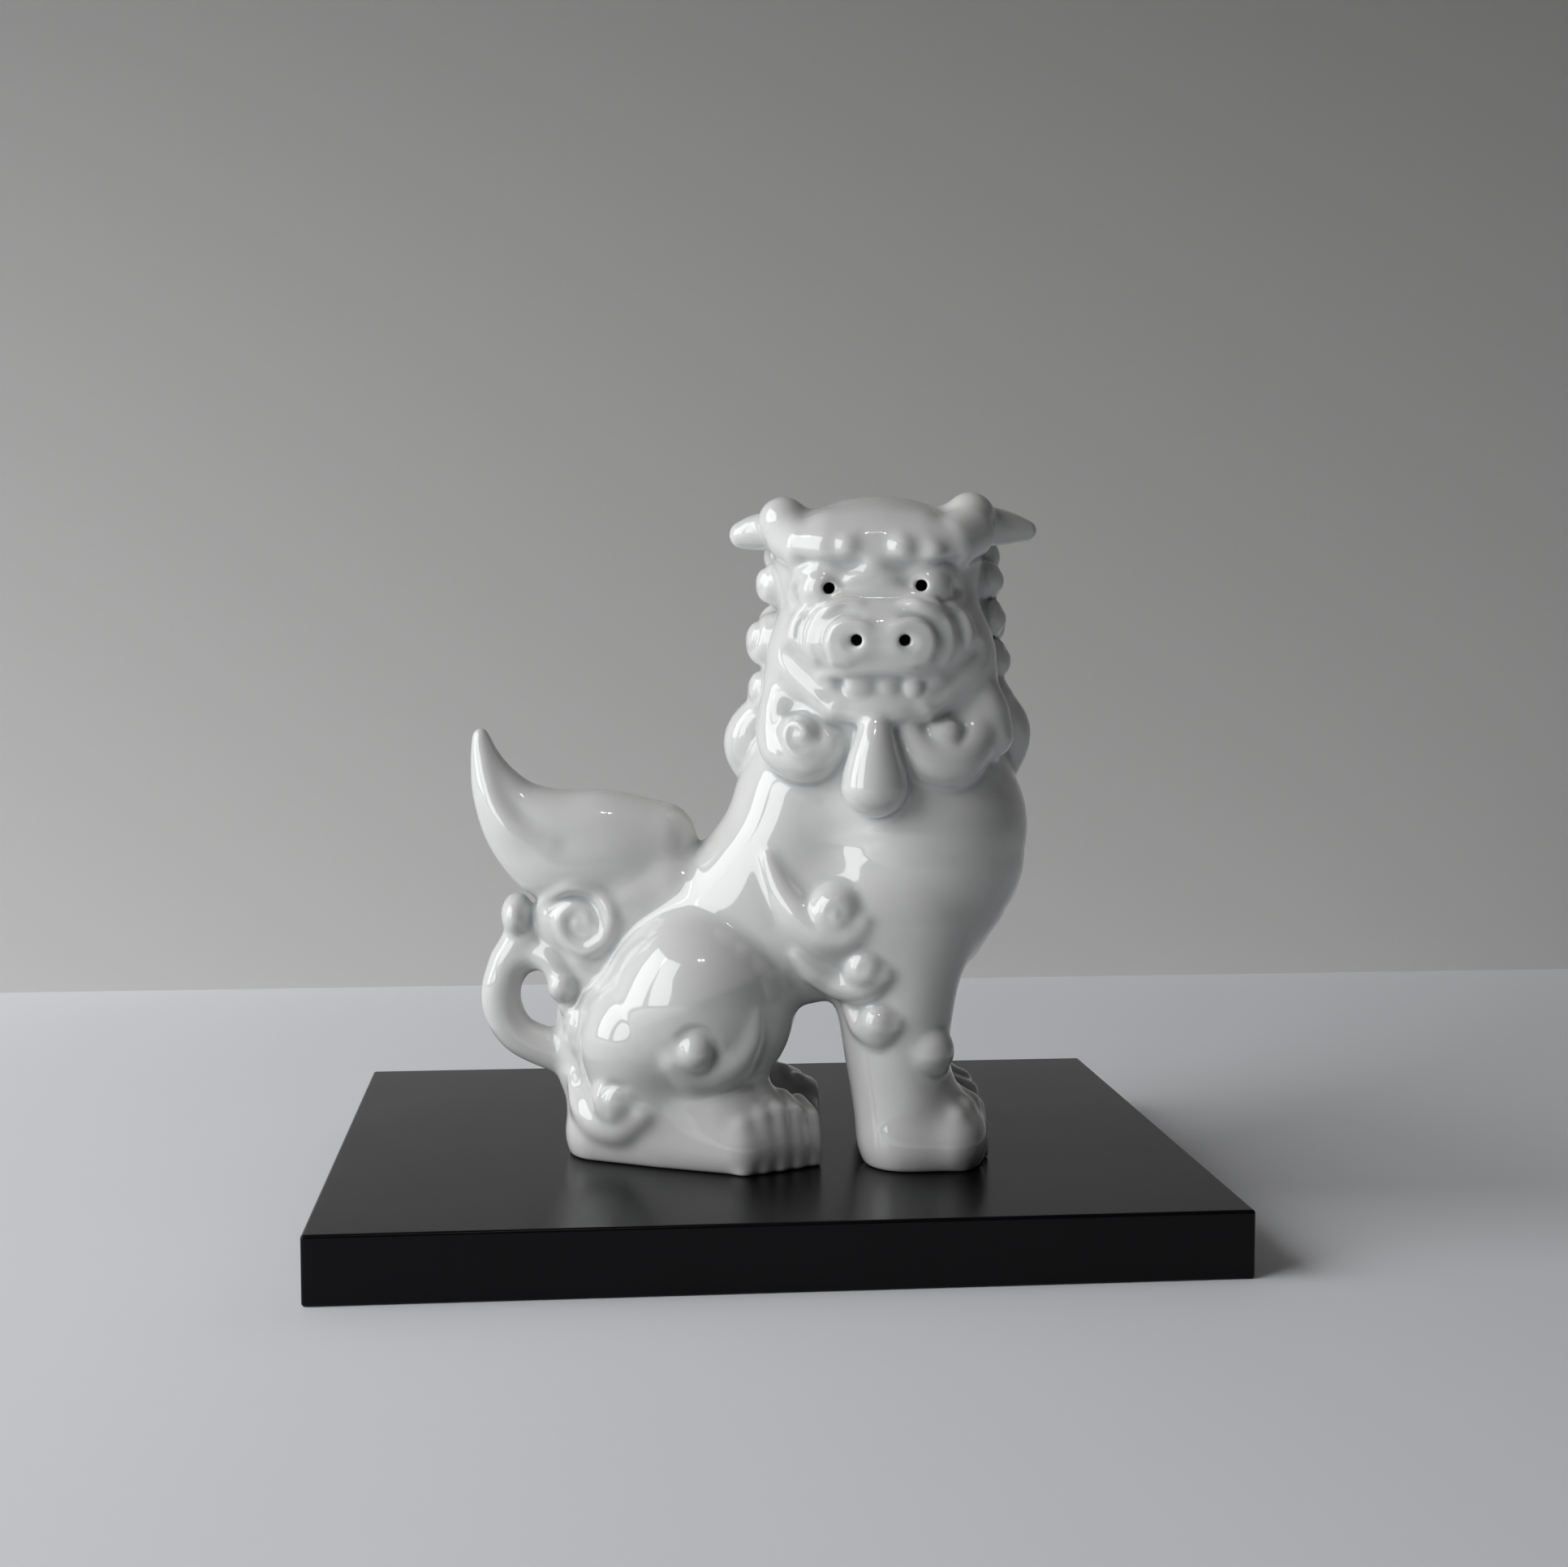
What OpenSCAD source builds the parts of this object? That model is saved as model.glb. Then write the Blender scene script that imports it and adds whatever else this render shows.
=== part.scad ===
// Seated guardian lion (foo dog) of white porcelain, on a black lacquered display board.
// Frame: +Z up, +X along the board towards the lion's chest, +Y away from the side that
// its turned head looks to. The origin is the centre of the board's underside.
//
// The lion is laid out in design points for a figure 155 mm high: [x, y, z, r] is a ball of
// radius r, in the lion's own axes, with its feet at z = 0. The points of the body have the
// right (near) side at negative y. The points of the head are in the head's own axes, where
// it looks along negative y. Every point scales with figure_h. Walls, holes and the board
// keep their own sizes.

/* [Board] */
// Length of the display board
board_l = 200; // [190:1:300]
// Width of the display board
board_w = 160; // [130:1:240]
// Thickness of the display board
board_h = 15; // [8:0.5:30]
// Chamfer along the edges of the board
board_edge = 0.8; // [0.2:0.1:3]

/* [Figure] */
// Height of the lion above the board
figure_h = 155; // [120:1:186]
// How far the lion sits in front of the board's centre
figure_forward = 15; // [0:1:20]
// Turn of the lion's body on the board, chest towards the front
figure_turn = 6; // [0:1:15]
// Turn of the head away from the body's own axis
head_turn = 92.5; // [80:0.5:100]

/* [Porcelain] */
// Wall of the hollow slip-cast sections
wall = 4; // [3:0.5:6]
// Bore of the pierced pupils
pupil_d = 2.6; // [1.5:0.1:4]
// Bore of the pierced nostrils
nostril_d = 2.6; // [1.5:0.1:4]
// Vent hole under the rump
vent_d = 9; // [5:0.5:12]

/* [Ornament] */
// Thickness of the loop that the tail's lowest lock makes
loop_d = 8; // [6:0.5:9]
// Clear opening of the tail loop
loop_bore = 11; // [9:0.5:12]
// Scale of the applied curls on the mane and the legs
curl_scale = 1; // [0.8:0.05:1.2]

/* [Hidden] */
k = figure_h / 155;
big_fn = 22;
small_fn = 12;
bore_fn = 24;
through = 0.01;

head_at = [28, 0, 0];
neck_z = 104;
vent_at = [-26, 0];

// Bores between the cavities: how far each starts from the middle plane, its lowest or only
// height, and for the legs how far up it goes
haunch_bore = [24, 36];
leg_bore = [12, 42, 14];

// Bores of the pupils and nostrils: how deep in the head they start, and their length
face_bore = [8, 40];

// Body sections, in the lion's axes
chest_balls = [[37, 0, 77, 25.5], [30, 0, 98, 22.5], [13, 0, 87, 18.5], [36, 0, 62, 20]];
neck_balls = [[30, 0, 98, 22.5], [28, -2, 112, 20]];
back_balls = [[13, 0, 87, 18.5], [8, 0, 72, 19], [0, 0, 60, 19], [36, 0, 62, 20]];
belly_balls = [[0, 0, 60, 19], [-14, 0, 46, 20], [14, 0, 54, 17]];
rump_balls = [[-14, 0, 46, 20], [-28, 0, 34, 15], [-37, 0, 20, 9.5], [-10, 0, 24, 14]];
seat_balls = [[-37, 0, 18, 9.5], [-35, 0, 6, 9], [-12, 0, 8, 11], [-10, 0, 24, 14]];
haunch_balls = [[-14, -9, 37, 22], [-24, -9, 29, 19], [-8, -10, 31, 15]];
foreleg_balls = [[34, -13, 46, 12.5], [32, -13, 28, 12], [33, -14, 10, 10.5]];
forepaw_balls = [[31, -17, 5, 8], [45, -18, 5, 7.5], [45, -10, 5, 7.5], [38, -14, 16, 7]];
hindpaw_balls = [[-1.5, -23.5, 6, 6], [9, -18, 6, 6], [-3, -12, 16, 8], [-20, -13, 6, 9],
                 [-32, -8, 6, 9]];

// Tail sections, in the lion's axes
stem_balls = [[-26, 0, 58, 12], [-37, 0, 50, 8], [-38, 0, 38, 6.5], [-41, 0, 26, 6]];
plume_upper = [[-25, 0, 75, 8.5], [-45, 0, 74, 9], [-56, 0, 79, 6.5], [-62.5, 0, 88, 4],
               [-66.2, 0, 97.5, 1.2]];
plume_lower = [[-29, 0, 65, 9.5], [-45, 0, 65, 9.5], [-58, 0, 74, 6.5], [-64.3, 0, 86, 4],
               [-66.2, 0, 97.5, 1.2]];
loop_at = [-52.5, 0, 37];
loop_end = [[-53, 0, 49.5, 4.2], [-48.5, -3.5, 46, 3.8], [-46.2, -6.5, 40, 3.2]];
tail_curl = [-43, -9, 55, 7.5];
tail_knob = [-56.5, 0, 56, 5.5];
tail_tuft = [[-42.6, -8, 28, 4.5], [-43, -8, 22.5, 3]];

// Head sections, in the head's own axes
temple = [-14, -7, 137.5, 12.7];
cheek = [-14.5, -9, 120, 12.5];
jowl = [-16, -5, 113, 10];
crown = [0, -5, 140.7, 14.5];
nape = [0, 7, 128, 20];
skull_core = [0, 4, 114, 19];
muzzle_balls = [[-8, -26, 120, 8.5], [8, -26, 120, 8.5], [0, -27, 124, 8],
                [-14, -18, 117, 8], [14, -18, 117, 8]];
jaw_balls = [[-5.5, -24, 108.5, 5], [5.5, -24, 108.5, 5], [-8, -14, 110, 7], [8, -14, 110, 7]];
brow_balls = [[-6.3, -22.5, 140.5, 4.5], [-17.5, -17.5, 143, 5], [-21.5, -11, 145.5, 5]];
eye_ball = [-13, -19.5, 132, 5.6];
crown_knob = [-22, -7, 148, 6];
knob_root = [-19, -8, 144, 5];
ear_balls = [[-23, -1, 145.5, 5], [-33.5, 1, 145, 2.6]];
throat_curl = [[-16.5, -19, 97, 9.5], [-12, -19, 92.5, 8]];
beard_balls = [[0, -24, 102, 4], [0, -25, 90.5, 9.2]];
pupil_at = [-10.4, 132.6];
nostril_at = [-5.75, 120];

// Applied curls: the right side of the body, and one side and the back of the mane
leg_curls = [[17.5, -22, 59.5, 7], [24.5, -23, 45.5, 6], [27.5, -22.5, 34, 5],
             [38.5, -21.5, 28, 6]];
haunch_curls = [[-14.5, -27.5, 28.8, 6.5], [-32, -17, 15.3, 7]];
mane_side = [[-26, 2, 132.6, 6], [-27, 4, 119.5, 7], [-27, 2, 107, 7], [-29.5, 7, 96, 8.5],
             [-25, -8, 101, 7]];
mane_back = [[-19, 17, 127, 7], [-7, 24, 133, 7], [-20, 20, 112, 7.5], [-7, 25, 118, 7.5],
             [-20, 19, 98, 8], [-7, 25, 103, 8], [-14, 22, 88, 8]];

// ---- Building blocks ----

function mirrored(balls) = [for (b = balls) [-b[0], b[1], b[2], b[3]]];

function curls(balls) = [for (b = balls) [b[0], b[1], b[2], b[3] * curl_scale]];

// A ball at a design point, its radius made larger or smaller by grow
module ball(b, grow = 0, fn = big_fn) {
    translate(k * [b[0], b[1], b[2]]) sphere(r = max(k * b[3] + grow, 0.4), $fn = fn);
}

// A closed form drawn over all of its balls
module form(balls, grow = 0, fn = big_fn) {
    hull() for (b = balls) ball(b, grow, fn);
}

// A limb that runs from each ball to the next
module limb(balls, grow = 0, fn = big_fn) {
    for (i = [0 : len(balls) - 2]) form([balls[i], balls[i + 1]], grow, fn);
}

// A flat lock between two rows of balls
module blade(upper, lower, fn = big_fn) {
    for (i = [0 : len(upper) - 2]) form([upper[i], upper[i + 1], lower[i], lower[i + 1]], 0, fn);
}

// Separate rounded curls, each a closed bead before it is cut to its seat
module beads(balls) {
    for (b = balls) form([b, b + [0, 0, 0.2 * b[3], -0.1 * b[3]]], 0, small_fn);
}

// Everything above the board
module above_board() {
    translate([-figure_h, -figure_h, 0]) cube([2 * figure_h, 2 * figure_h, 2 * figure_h]);
}

module on_board() {
    translate([0, -figure_forward, board_h]) rotate([0, 0, -figure_turn]) children();
}

module on_neck() {
    translate(k * head_at) rotate([0, 0, 90 - head_turn]) children();
}

module left_side() {
    mirror([0, 1, 0]) children();
}

// The head is symmetric across its own x = 0 plane; its right is the viewer's left
module head_left() {
    mirror([1, 0, 0]) children();
}

// ---- Forms that later sections are cut to ----

module torso_form(grow = 0) {
    form(chest_balls, grow);
    form(neck_balls, grow);
    form(back_balls, grow);
    form(belly_balls, grow);
    form(rump_balls, grow);
    form(seat_balls, grow);
}

// The skull, from its crown and temples over the flat of the face to the jowls and nape
module skull_form(grow = 0) {
    form(concat([crown, nape, temple], mirrored([temple])), grow);
    form(concat([temple, cheek], mirrored([temple, cheek])), grow);
    form(concat([cheek, nape, skull_core], mirrored([cheek])), grow);
    form([cheek, jowl, skull_core], grow);
    form(mirrored([cheek, jowl, skull_core]), grow);
    form([crown, nape, skull_core], grow);
}

module below(z) {
    translate([-figure_h, -figure_h, -figure_h]) cube([2 * figure_h, 2 * figure_h, figure_h + z]);
}

module below_neck() {
    below(k * neck_z);
}

module body_form() {
    intersection() {
        torso_form();
        below_neck();
    }
    on_neck() difference() {
        skull_form();
        below_neck();
    }
}

module muzzle_form() {
    form(muzzle_balls);
    form([muzzle_balls[0], muzzle_balls[3]]);
    form([muzzle_balls[1], muzzle_balls[4]]);
}

module face_form() {
    muzzle_form();
    form(jaw_balls);
}

module legs_form() {
    form(haunch_balls);
    limb(foreleg_balls);
    form(forepaw_balls);
    form(hindpaw_balls);
}

module tail_form() {
    limb(stem_balls, 0, small_fn);
    plume_form();
}

module plume_form() {
    blade(plume_upper, plume_lower, small_fn);
}

// ---- Body ----

module display_board() {
    c = board_edge;
    color([0.03, 0.03, 0.035]) intersection() {
        linear_extrude(board_h) chamfered(board_l, board_w, c);
        translate([-board_l / 2, 0, board_h / 2]) rotate([90, 0, 90])
            linear_extrude(board_l) chamfered(board_w, board_h, c);
        translate([0, board_w / 2, board_h / 2]) rotate([90, 0, 0])
            linear_extrude(board_w) chamfered(board_l, board_h, c);
    }
}

// A rectangle with its corners cut at 45 degrees
module chamfered(l, w, c) {
    polygon([for (s = [[1, 1], [-1, 1], [-1, -1], [1, -1]], e = [0, 1])
        let (first = (s[0] * s[1] > 0) == (e == 0))
        [s[0] * (l / 2 - (first ? 0 : c)), s[1] * (w / 2 - (first ? c : 0))]]);
}

module torso_shell() {
    porcelain() on_board() difference() {
        intersection() {
            torso_form();
            above_board();
            below_neck();
        }
        difference() {
            torso_form(-wall);
            below(wall);
        }
        translate([k * vent_at[0], k * vent_at[1], -through])
            cylinder(d = vent_d, h = wall + 1, $fn = bore_fn);
        passages();
    }
}

// Bores that join the cavities of the haunches and the forelegs to the torso's own
module passages() {
    translate(k * [haunch_balls[0][0], haunch_bore[0], haunch_bore[1]]) rotate([90, 0, 0])
        cylinder(d = vent_d, h = 2 * k * haunch_bore[0], $fn = bore_fn);
    for (side = [-1, 1]) translate(k * [foreleg_balls[0][0], side * leg_bore[0], leg_bore[1]])
        cylinder(d = vent_d, h = k * leg_bore[2], $fn = bore_fn);
}

module haunch_right() {
    porcelain() on_board() haunch();
}

module haunch_left() {
    porcelain() on_board() left_side() haunch();
}

module haunch() {
    difference() {
        intersection() {
            form(haunch_balls);
            above_board();
            own_side();
        }
        torso_form();
        form(haunch_balls, -wall);
    }
}

module foreleg_right() {
    porcelain() on_board() foreleg();
}

module foreleg_left() {
    porcelain() on_board() left_side() foreleg();
}

module foreleg() {
    difference() {
        intersection() {
            limb(foreleg_balls);
            above_board();
            own_side();
        }
        torso_form();
        limb(foreleg_balls, -wall);
    }
}

// The right half of the space beside the lion's middle plane
module own_side() {
    translate([-figure_h, -figure_h, -figure_h]) cube([2 * figure_h, figure_h, 4 * figure_h]);
}

module forepaw_right() {
    porcelain() on_board() forepaw();
}

module forepaw_left() {
    porcelain() on_board() left_side() forepaw();
}

module forepaw() {
    difference() {
        intersection() {
            form(forepaw_balls);
            above_board();
            own_side();
        }
        torso_form();
        limb(foreleg_balls);
    }
}

module hind_paw_right() {
    porcelain() on_board() hind_paw();
}

module hind_paw_left() {
    porcelain() on_board() left_side() hind_paw();
}

module hind_paw() {
    difference() {
        intersection() {
            form(hindpaw_balls);
            above_board();
            own_side();
        }
        torso_form();
        form(haunch_balls);
    }
}

// ---- Head ----

module head_shell() {
    porcelain() on_board() on_neck() difference() {
        skull_form();
        skull_form(-wall);
        below_neck();
        for (side = [-1, 1]) {
            bore(side * pupil_at[0], pupil_at[1], pupil_d);
            bore(side * nostril_at[0], nostril_at[1], nostril_d);
        }
    }
}

module eye_right() {
    porcelain() on_board() on_neck() eye();
}

module eye_left() {
    porcelain() on_board() on_neck() head_left() eye();
}

// A bead set on the face, pierced through for the pupil
module eye() {
    difference() {
        form([eye_ball]);
        skull_form();
        muzzle_form();
        limb(brow_balls, 0, small_fn);
        bore(pupil_at[0], pupil_at[1], pupil_d);
    }
}

// A hole from in front of the face into the head's cavity
module bore(x, z, d) {
    translate(k * [x, -face_bore[0], z]) rotate([90, 0, 0])
        cylinder(d = d, h = k * face_bore[1], $fn = bore_fn);
}

module muzzle() {
    porcelain() on_board() on_neck() difference() {
        muzzle_form();
        skull_form();
        for (side = [-1, 1]) bore(side * nostril_at[0], nostril_at[1], nostril_d);
    }
}

module lower_jaw() {
    porcelain() on_board() difference() {
        on_neck() form(jaw_balls);
        body_form();
        on_neck() muzzle_form();
    }
}

module brow_right() {
    porcelain() on_board() on_neck() brow();
}

module brow_left() {
    porcelain() on_board() on_neck() head_left() brow();
}

module brow() {
    difference() {
        limb(brow_balls, 0, small_fn);
        skull_form();
        knob_form();
    }
}

module crown_knob_right() {
    porcelain() on_board() on_neck() knob();
}

module crown_knob_left() {
    porcelain() on_board() on_neck() head_left() knob();
}

module knob() {
    difference() {
        knob_form();
        skull_form();
    }
}

module knob_form() {
    form([crown_knob], 0, small_fn);
    form([crown_knob, knob_root], 0, small_fn);
}

module ear_right() {
    porcelain() on_board() on_neck() ear();
}

module ear_left() {
    porcelain() on_board() on_neck() head_left() ear();
}

module ear() {
    difference() {
        limb(ear_balls, 0, small_fn);
        skull_form();
        knob_form();
        limb(brow_balls, 0, small_fn);
    }
}

// ---- Mane, throat and beard ----

module throat_curl_right() {
    porcelain() on_board() throat(throat_curl);
}

module throat_curl_left() {
    porcelain() on_board() throat(mirrored(throat_curl));
}

module throat(balls) {
    difference() {
        on_neck() form(curls(balls));
        body_form();
        on_neck() face_form();
    }
}

module beard_lock() {
    porcelain() on_board() difference() {
        on_neck() form(beard_balls);
        body_form();
        on_neck() {
            face_form();
            form(curls(throat_curl));
            form(curls(mirrored(throat_curl)));
        }
    }
}

module mane_curls_right() {
    porcelain() on_board() mane(mane_side);
}

module mane_curls_left() {
    porcelain() on_board() mane(mirrored(mane_side));
}

module mane_curls_back() {
    porcelain() on_board() difference() {
        mane(concat(mane_back, mirrored(mane_back)));
        on_neck() beads(curls(concat(mane_side, mirrored(mane_side))));
        plume_form();
    }
}

// Curls cut to the neck and head that they sit on
module mane(balls) {
    difference() {
        on_neck() beads(curls(balls));
        body_form();
        on_neck() {
            form(curls(throat_curl));
            form(curls(mirrored(throat_curl)));
            muzzle_form();
        }
    }
}

// ---- Curls on the legs ----

module leg_curls_right() {
    porcelain() on_board() leg_set();
}

module leg_curls_left() {
    porcelain() on_board() left_side() leg_set();
}

module leg_set() {
    difference() {
        beads(curls(leg_curls));
        torso_form();
        legs_form();
    }
}

module haunch_curls_right() {
    porcelain() on_board() haunch_set();
}

module haunch_curls_left() {
    porcelain() on_board() left_side() haunch_set();
}

module haunch_set() {
    difference() {
        beads(curls(haunch_curls));
        torso_form();
        legs_form();
    }
}

// ---- Tail ----

module tail_stem() {
    porcelain() on_board() difference() {
        limb(stem_balls, 0, small_fn);
        torso_form();
        form(haunch_balls);
        left_side() form(haunch_balls);
    }
}

module tail_plume() {
    porcelain() on_board() difference() {
        plume_form();
        torso_form();
        form(haunch_balls);
        left_side() form(haunch_balls);
        limb(stem_balls, 0, small_fn);
    }
}

// The lowest lock leaves the rump, makes an open ring and ends in a bead beside the stem
module tail_loop() {
    porcelain() on_board() difference() {
        loop_form();
        torso_form();
        tail_form();
        form(haunch_balls);
        left_side() form(haunch_balls);
    }
}

module tail_curl_right() {
    porcelain() on_board() tail_side_curl();
}

module tail_curl_left() {
    porcelain() on_board() left_side() tail_side_curl();
}

module tail_side_curl() {
    difference() {
        beads(curls([tail_curl]));
        torso_form();
        tail_form();
        loop_form();
        form(haunch_balls);
        other_half();
    }
}

// The half beyond the lion's middle plane, kept for the other side's copy
module other_half() {
    translate([-figure_h, 0, -figure_h]) cube([2 * figure_h, figure_h, 4 * figure_h]);
}

module tail_knob() {
    porcelain() on_board() difference() {
        beads([tail_knob]);
        tail_form();
        loop_form();
        form(curls([tail_curl]));
        left_side() form(curls([tail_curl]));
    }
}

module loop_form() {
    translate(k * loop_at) rotate([90, 0, 0])
        rotate_extrude($fn = 28) translate([(loop_bore + loop_d) / 2, 0]) circle(d = loop_d, $fn = 13);
    limb(loop_end, 0, small_fn);
}

module tail_tuft_right() {
    porcelain() on_board() tuft();
}

module tail_tuft_left() {
    porcelain() on_board() left_side() tuft();
}

module tuft() {
    difference() {
        limb(tail_tuft, 0, small_fn);
        torso_form();
        tail_form();
        loop_form();
        form(haunch_balls);
    }
}

module porcelain() {
    color([0.88, 0.89, 0.87]) children();
}

display_board();
torso_shell();
haunch_right();
haunch_left();
foreleg_right();
foreleg_left();
forepaw_right();
forepaw_left();
hind_paw_right();
hind_paw_left();
head_shell();
muzzle();
lower_jaw();
eye_right();
eye_left();
brow_right();
brow_left();
crown_knob_right();
crown_knob_left();
ear_right();
ear_left();
throat_curl_right();
throat_curl_left();
beard_lock();
mane_curls_right();
mane_curls_left();
mane_curls_back();
leg_curls_right();
leg_curls_left();
haunch_curls_right();
haunch_curls_left();
tail_stem();
tail_plume();
tail_loop();
tail_curl_right();
tail_curl_left();
tail_knob();
tail_tuft_right();
tail_tuft_left();
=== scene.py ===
"""A seated guardian lion of white glazed porcelain on a black lacquered display board.

The lion is modelled as one lump of clay, a field of signed distances in millimetres in the
lion's own axes, because its real sections were luted together before they were fired and the
glaze runs over every seam. Each part of the clay belongs to a section. When the clay is turned
into a surface, every section becomes a closed piece of its own that meets its neighbours
point for point.

Lion axes: u towards the chest, v away from the side that the face looks to, z up from the board.
Head axes: s to the right of someone facing the lion, d away from them, z up.
"""
import math

import bpy
import numpy as np
import openvdb
from mathutils import Matrix, Vector


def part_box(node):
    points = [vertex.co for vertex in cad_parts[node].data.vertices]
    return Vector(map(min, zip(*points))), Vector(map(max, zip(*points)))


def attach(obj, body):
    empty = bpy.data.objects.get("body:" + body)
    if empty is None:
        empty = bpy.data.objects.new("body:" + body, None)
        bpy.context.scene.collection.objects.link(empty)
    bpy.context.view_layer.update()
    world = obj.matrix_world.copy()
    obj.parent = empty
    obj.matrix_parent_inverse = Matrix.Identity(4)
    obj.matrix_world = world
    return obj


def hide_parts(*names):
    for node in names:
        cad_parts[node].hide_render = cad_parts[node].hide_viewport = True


bl_info = {
    "name": "Porcelain Guardian Lion",
    "version": (1, 0, 0),
    "blender": (4, 5, 0),
    "location": "View3D > Sidebar > Lion",
    "description": "Models a glazed guardian lion on its lacquered board",
    "category": "Object",
}

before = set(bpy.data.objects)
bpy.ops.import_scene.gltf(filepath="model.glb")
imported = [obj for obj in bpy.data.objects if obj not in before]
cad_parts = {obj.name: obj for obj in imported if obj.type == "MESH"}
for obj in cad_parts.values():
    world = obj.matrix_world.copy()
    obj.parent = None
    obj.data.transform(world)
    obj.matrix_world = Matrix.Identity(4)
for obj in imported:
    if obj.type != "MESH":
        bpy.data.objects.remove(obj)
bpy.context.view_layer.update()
BOARD_LOW, BOARD_HIGH = (Vector(corner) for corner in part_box("display_board"))
BOARD_TOP = BOARD_HIGH.z
DESIGN_HEIGHT = 155.0
LION_SCALE = (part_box("head_shell")[1][2] - BOARD_TOP) / DESIGN_HEIGHT

# The lion's own axes, in millimetres, with the turn of the head in degrees
HEAD_PLACE = (28.0, 0.0)
HEAD_TURN = -2.5
CLAY_LOW, CLAY_HIGH = (-74, -41, -3), (71, 41, 160)
NEAR, FAR = -1, 1

# How far from the surface the field is kept: for broad masses, fine forms and the skin
REACH = 12.0
FINE_REACH = 4.0
SKIN = 2.4

GLAZE_SOFTNESS = 0.6

# Radii of the openings, and the rounded edge and the height of the soles, in millimetres
PUPIL_BORE = 1.3
NOSTRIL_BORE = 1.3
VENT_BORE = 4.5
FOOT_EDGE = 1.4
FOOT_LEVEL = 0.02

CAMERA_PLACE = (-0.04365, -0.50873, 0.13877)
CAMERA_YAW, CAMERA_PITCH, CAMERA_ROLL = -0.09887, -0.07443, -0.001325


# ---- Places ----

def head(s, d, z):
    """A point in head axes, in lion axes."""
    turn = math.radians(HEAD_TURN)
    c, n = math.cos(turn), math.sin(turn)
    return np.array((HEAD_PLACE[0] + s * c - d * n, s * n + d * c, z))


def head_way(s, d, z):
    """A direction in head axes, in lion axes."""
    return head(s, d, z) - head(0, 0, 0)


def unit(vector):
    vector = np.asarray(vector, float)
    return vector / np.linalg.norm(vector)


def spline(points, per):
    """Points on a smooth curve through the given ones, this many to each span."""
    points = np.asarray(points, float)
    if len(points) < 3:
        t = np.linspace(0, 1, per + 1)[:, None]
        return points[0] * (1 - t) + points[-1] * t
    ends = np.vstack([2 * points[0] - points[1], points, 2 * points[-1] - points[-2]])
    t = np.linspace(0, 1, per, endpoint=False)[:, None]
    runs = []
    for i in range(1, len(ends) - 2):
        a, b, c, e = ends[i - 1:i + 3]
        runs.append(0.5 * (2 * b + (c - a) * t + (2 * a - 5 * b + 4 * c - e) * t ** 2
                           + (3 * b - a - 3 * c + e) * t ** 3))
    return np.vstack(runs + [points[-1:]])


# ---- Forms: each has the box that holds it and its distance at any point ----

class Form:
    """A solid form, with the corners of its box and its signed distance function."""

    def __init__(self, low, high, distance):
        self.low, self.high, self.distance = np.asarray(low), np.asarray(high), distance


def ball(centre, radius):
    c = np.asarray(centre, np.float32)

    def distance(x, y, z):
        return np.sqrt((x - c[0]) ** 2 + (y - c[1]) ** 2 + (z - c[2]) ** 2) - radius
    return Form(c - radius, c + radius, distance)


def egg(centre, radii, turn=0.0, lean=0.0):
    """An ellipsoid, turned about z and then leant about its own second axis, in degrees."""
    c = np.asarray(centre, np.float32)
    r = np.asarray(radii, np.float32)
    axes = np.array(Matrix.Rotation(math.radians(turn), 3, "Z")
                    @ Matrix.Rotation(math.radians(lean), 3, "Y"), np.float32)

    def distance(x, y, z):
        p = [(x - c[0]) * axes[0, i] + (y - c[1]) * axes[1, i] + (z - c[2]) * axes[2, i]
             for i in range(3)]
        near = np.sqrt(sum((p[i] / r[i]) ** 2 for i in range(3)))
        slope = np.sqrt(sum((p[i] / r[i] ** 2) ** 2 for i in range(3))) + 1e-6
        return near * (near - 1) / slope
    half = np.sqrt(((axes * r) ** 2).sum(axis=1))
    return Form(c - half, c + half, distance)


def chain(points, radii):
    """Tapered lengths from each point to the next."""
    p = np.asarray(points, np.float32)
    r = np.broadcast_to(np.asarray(radii, np.float32), len(p))

    def distance(x, y, z):
        best = None
        for a, b, ra, rb in zip(p[:-1], p[1:], r[:-1], r[1:]):
            ba = b - a
            length = float(ba @ ba) + 1e-9
            t = ((x - a[0]) * ba[0] + (y - a[1]) * ba[1] + (z - a[2]) * ba[2]) / length
            t = np.clip(t, 0, 1)
            d = np.sqrt((x - a[0] - t * ba[0]) ** 2 + (y - a[1] - t * ba[1]) ** 2
                        + (z - a[2] - t * ba[2]) ** 2) - (ra + (rb - ra) * t)
            best = d if best is None else np.minimum(best, d)
        return best
    return Form((p - r[:, None]).min(0), (p + r[:, None]).max(0), distance)


def lock(balls, per=6):
    """A smooth tapering lock through balls given as (u, v, z, radius)."""
    run = spline(balls, per)
    return chain(run[:, :3], np.maximum(run[:, 3], 0.3))


def head_lock(balls):
    """The same in head axes, through balls given as (s, d, z, radius)."""
    return lock([(*head(s, d, z), radius) for s, d, z, radius in balls])


# ---- The clay ----

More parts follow.
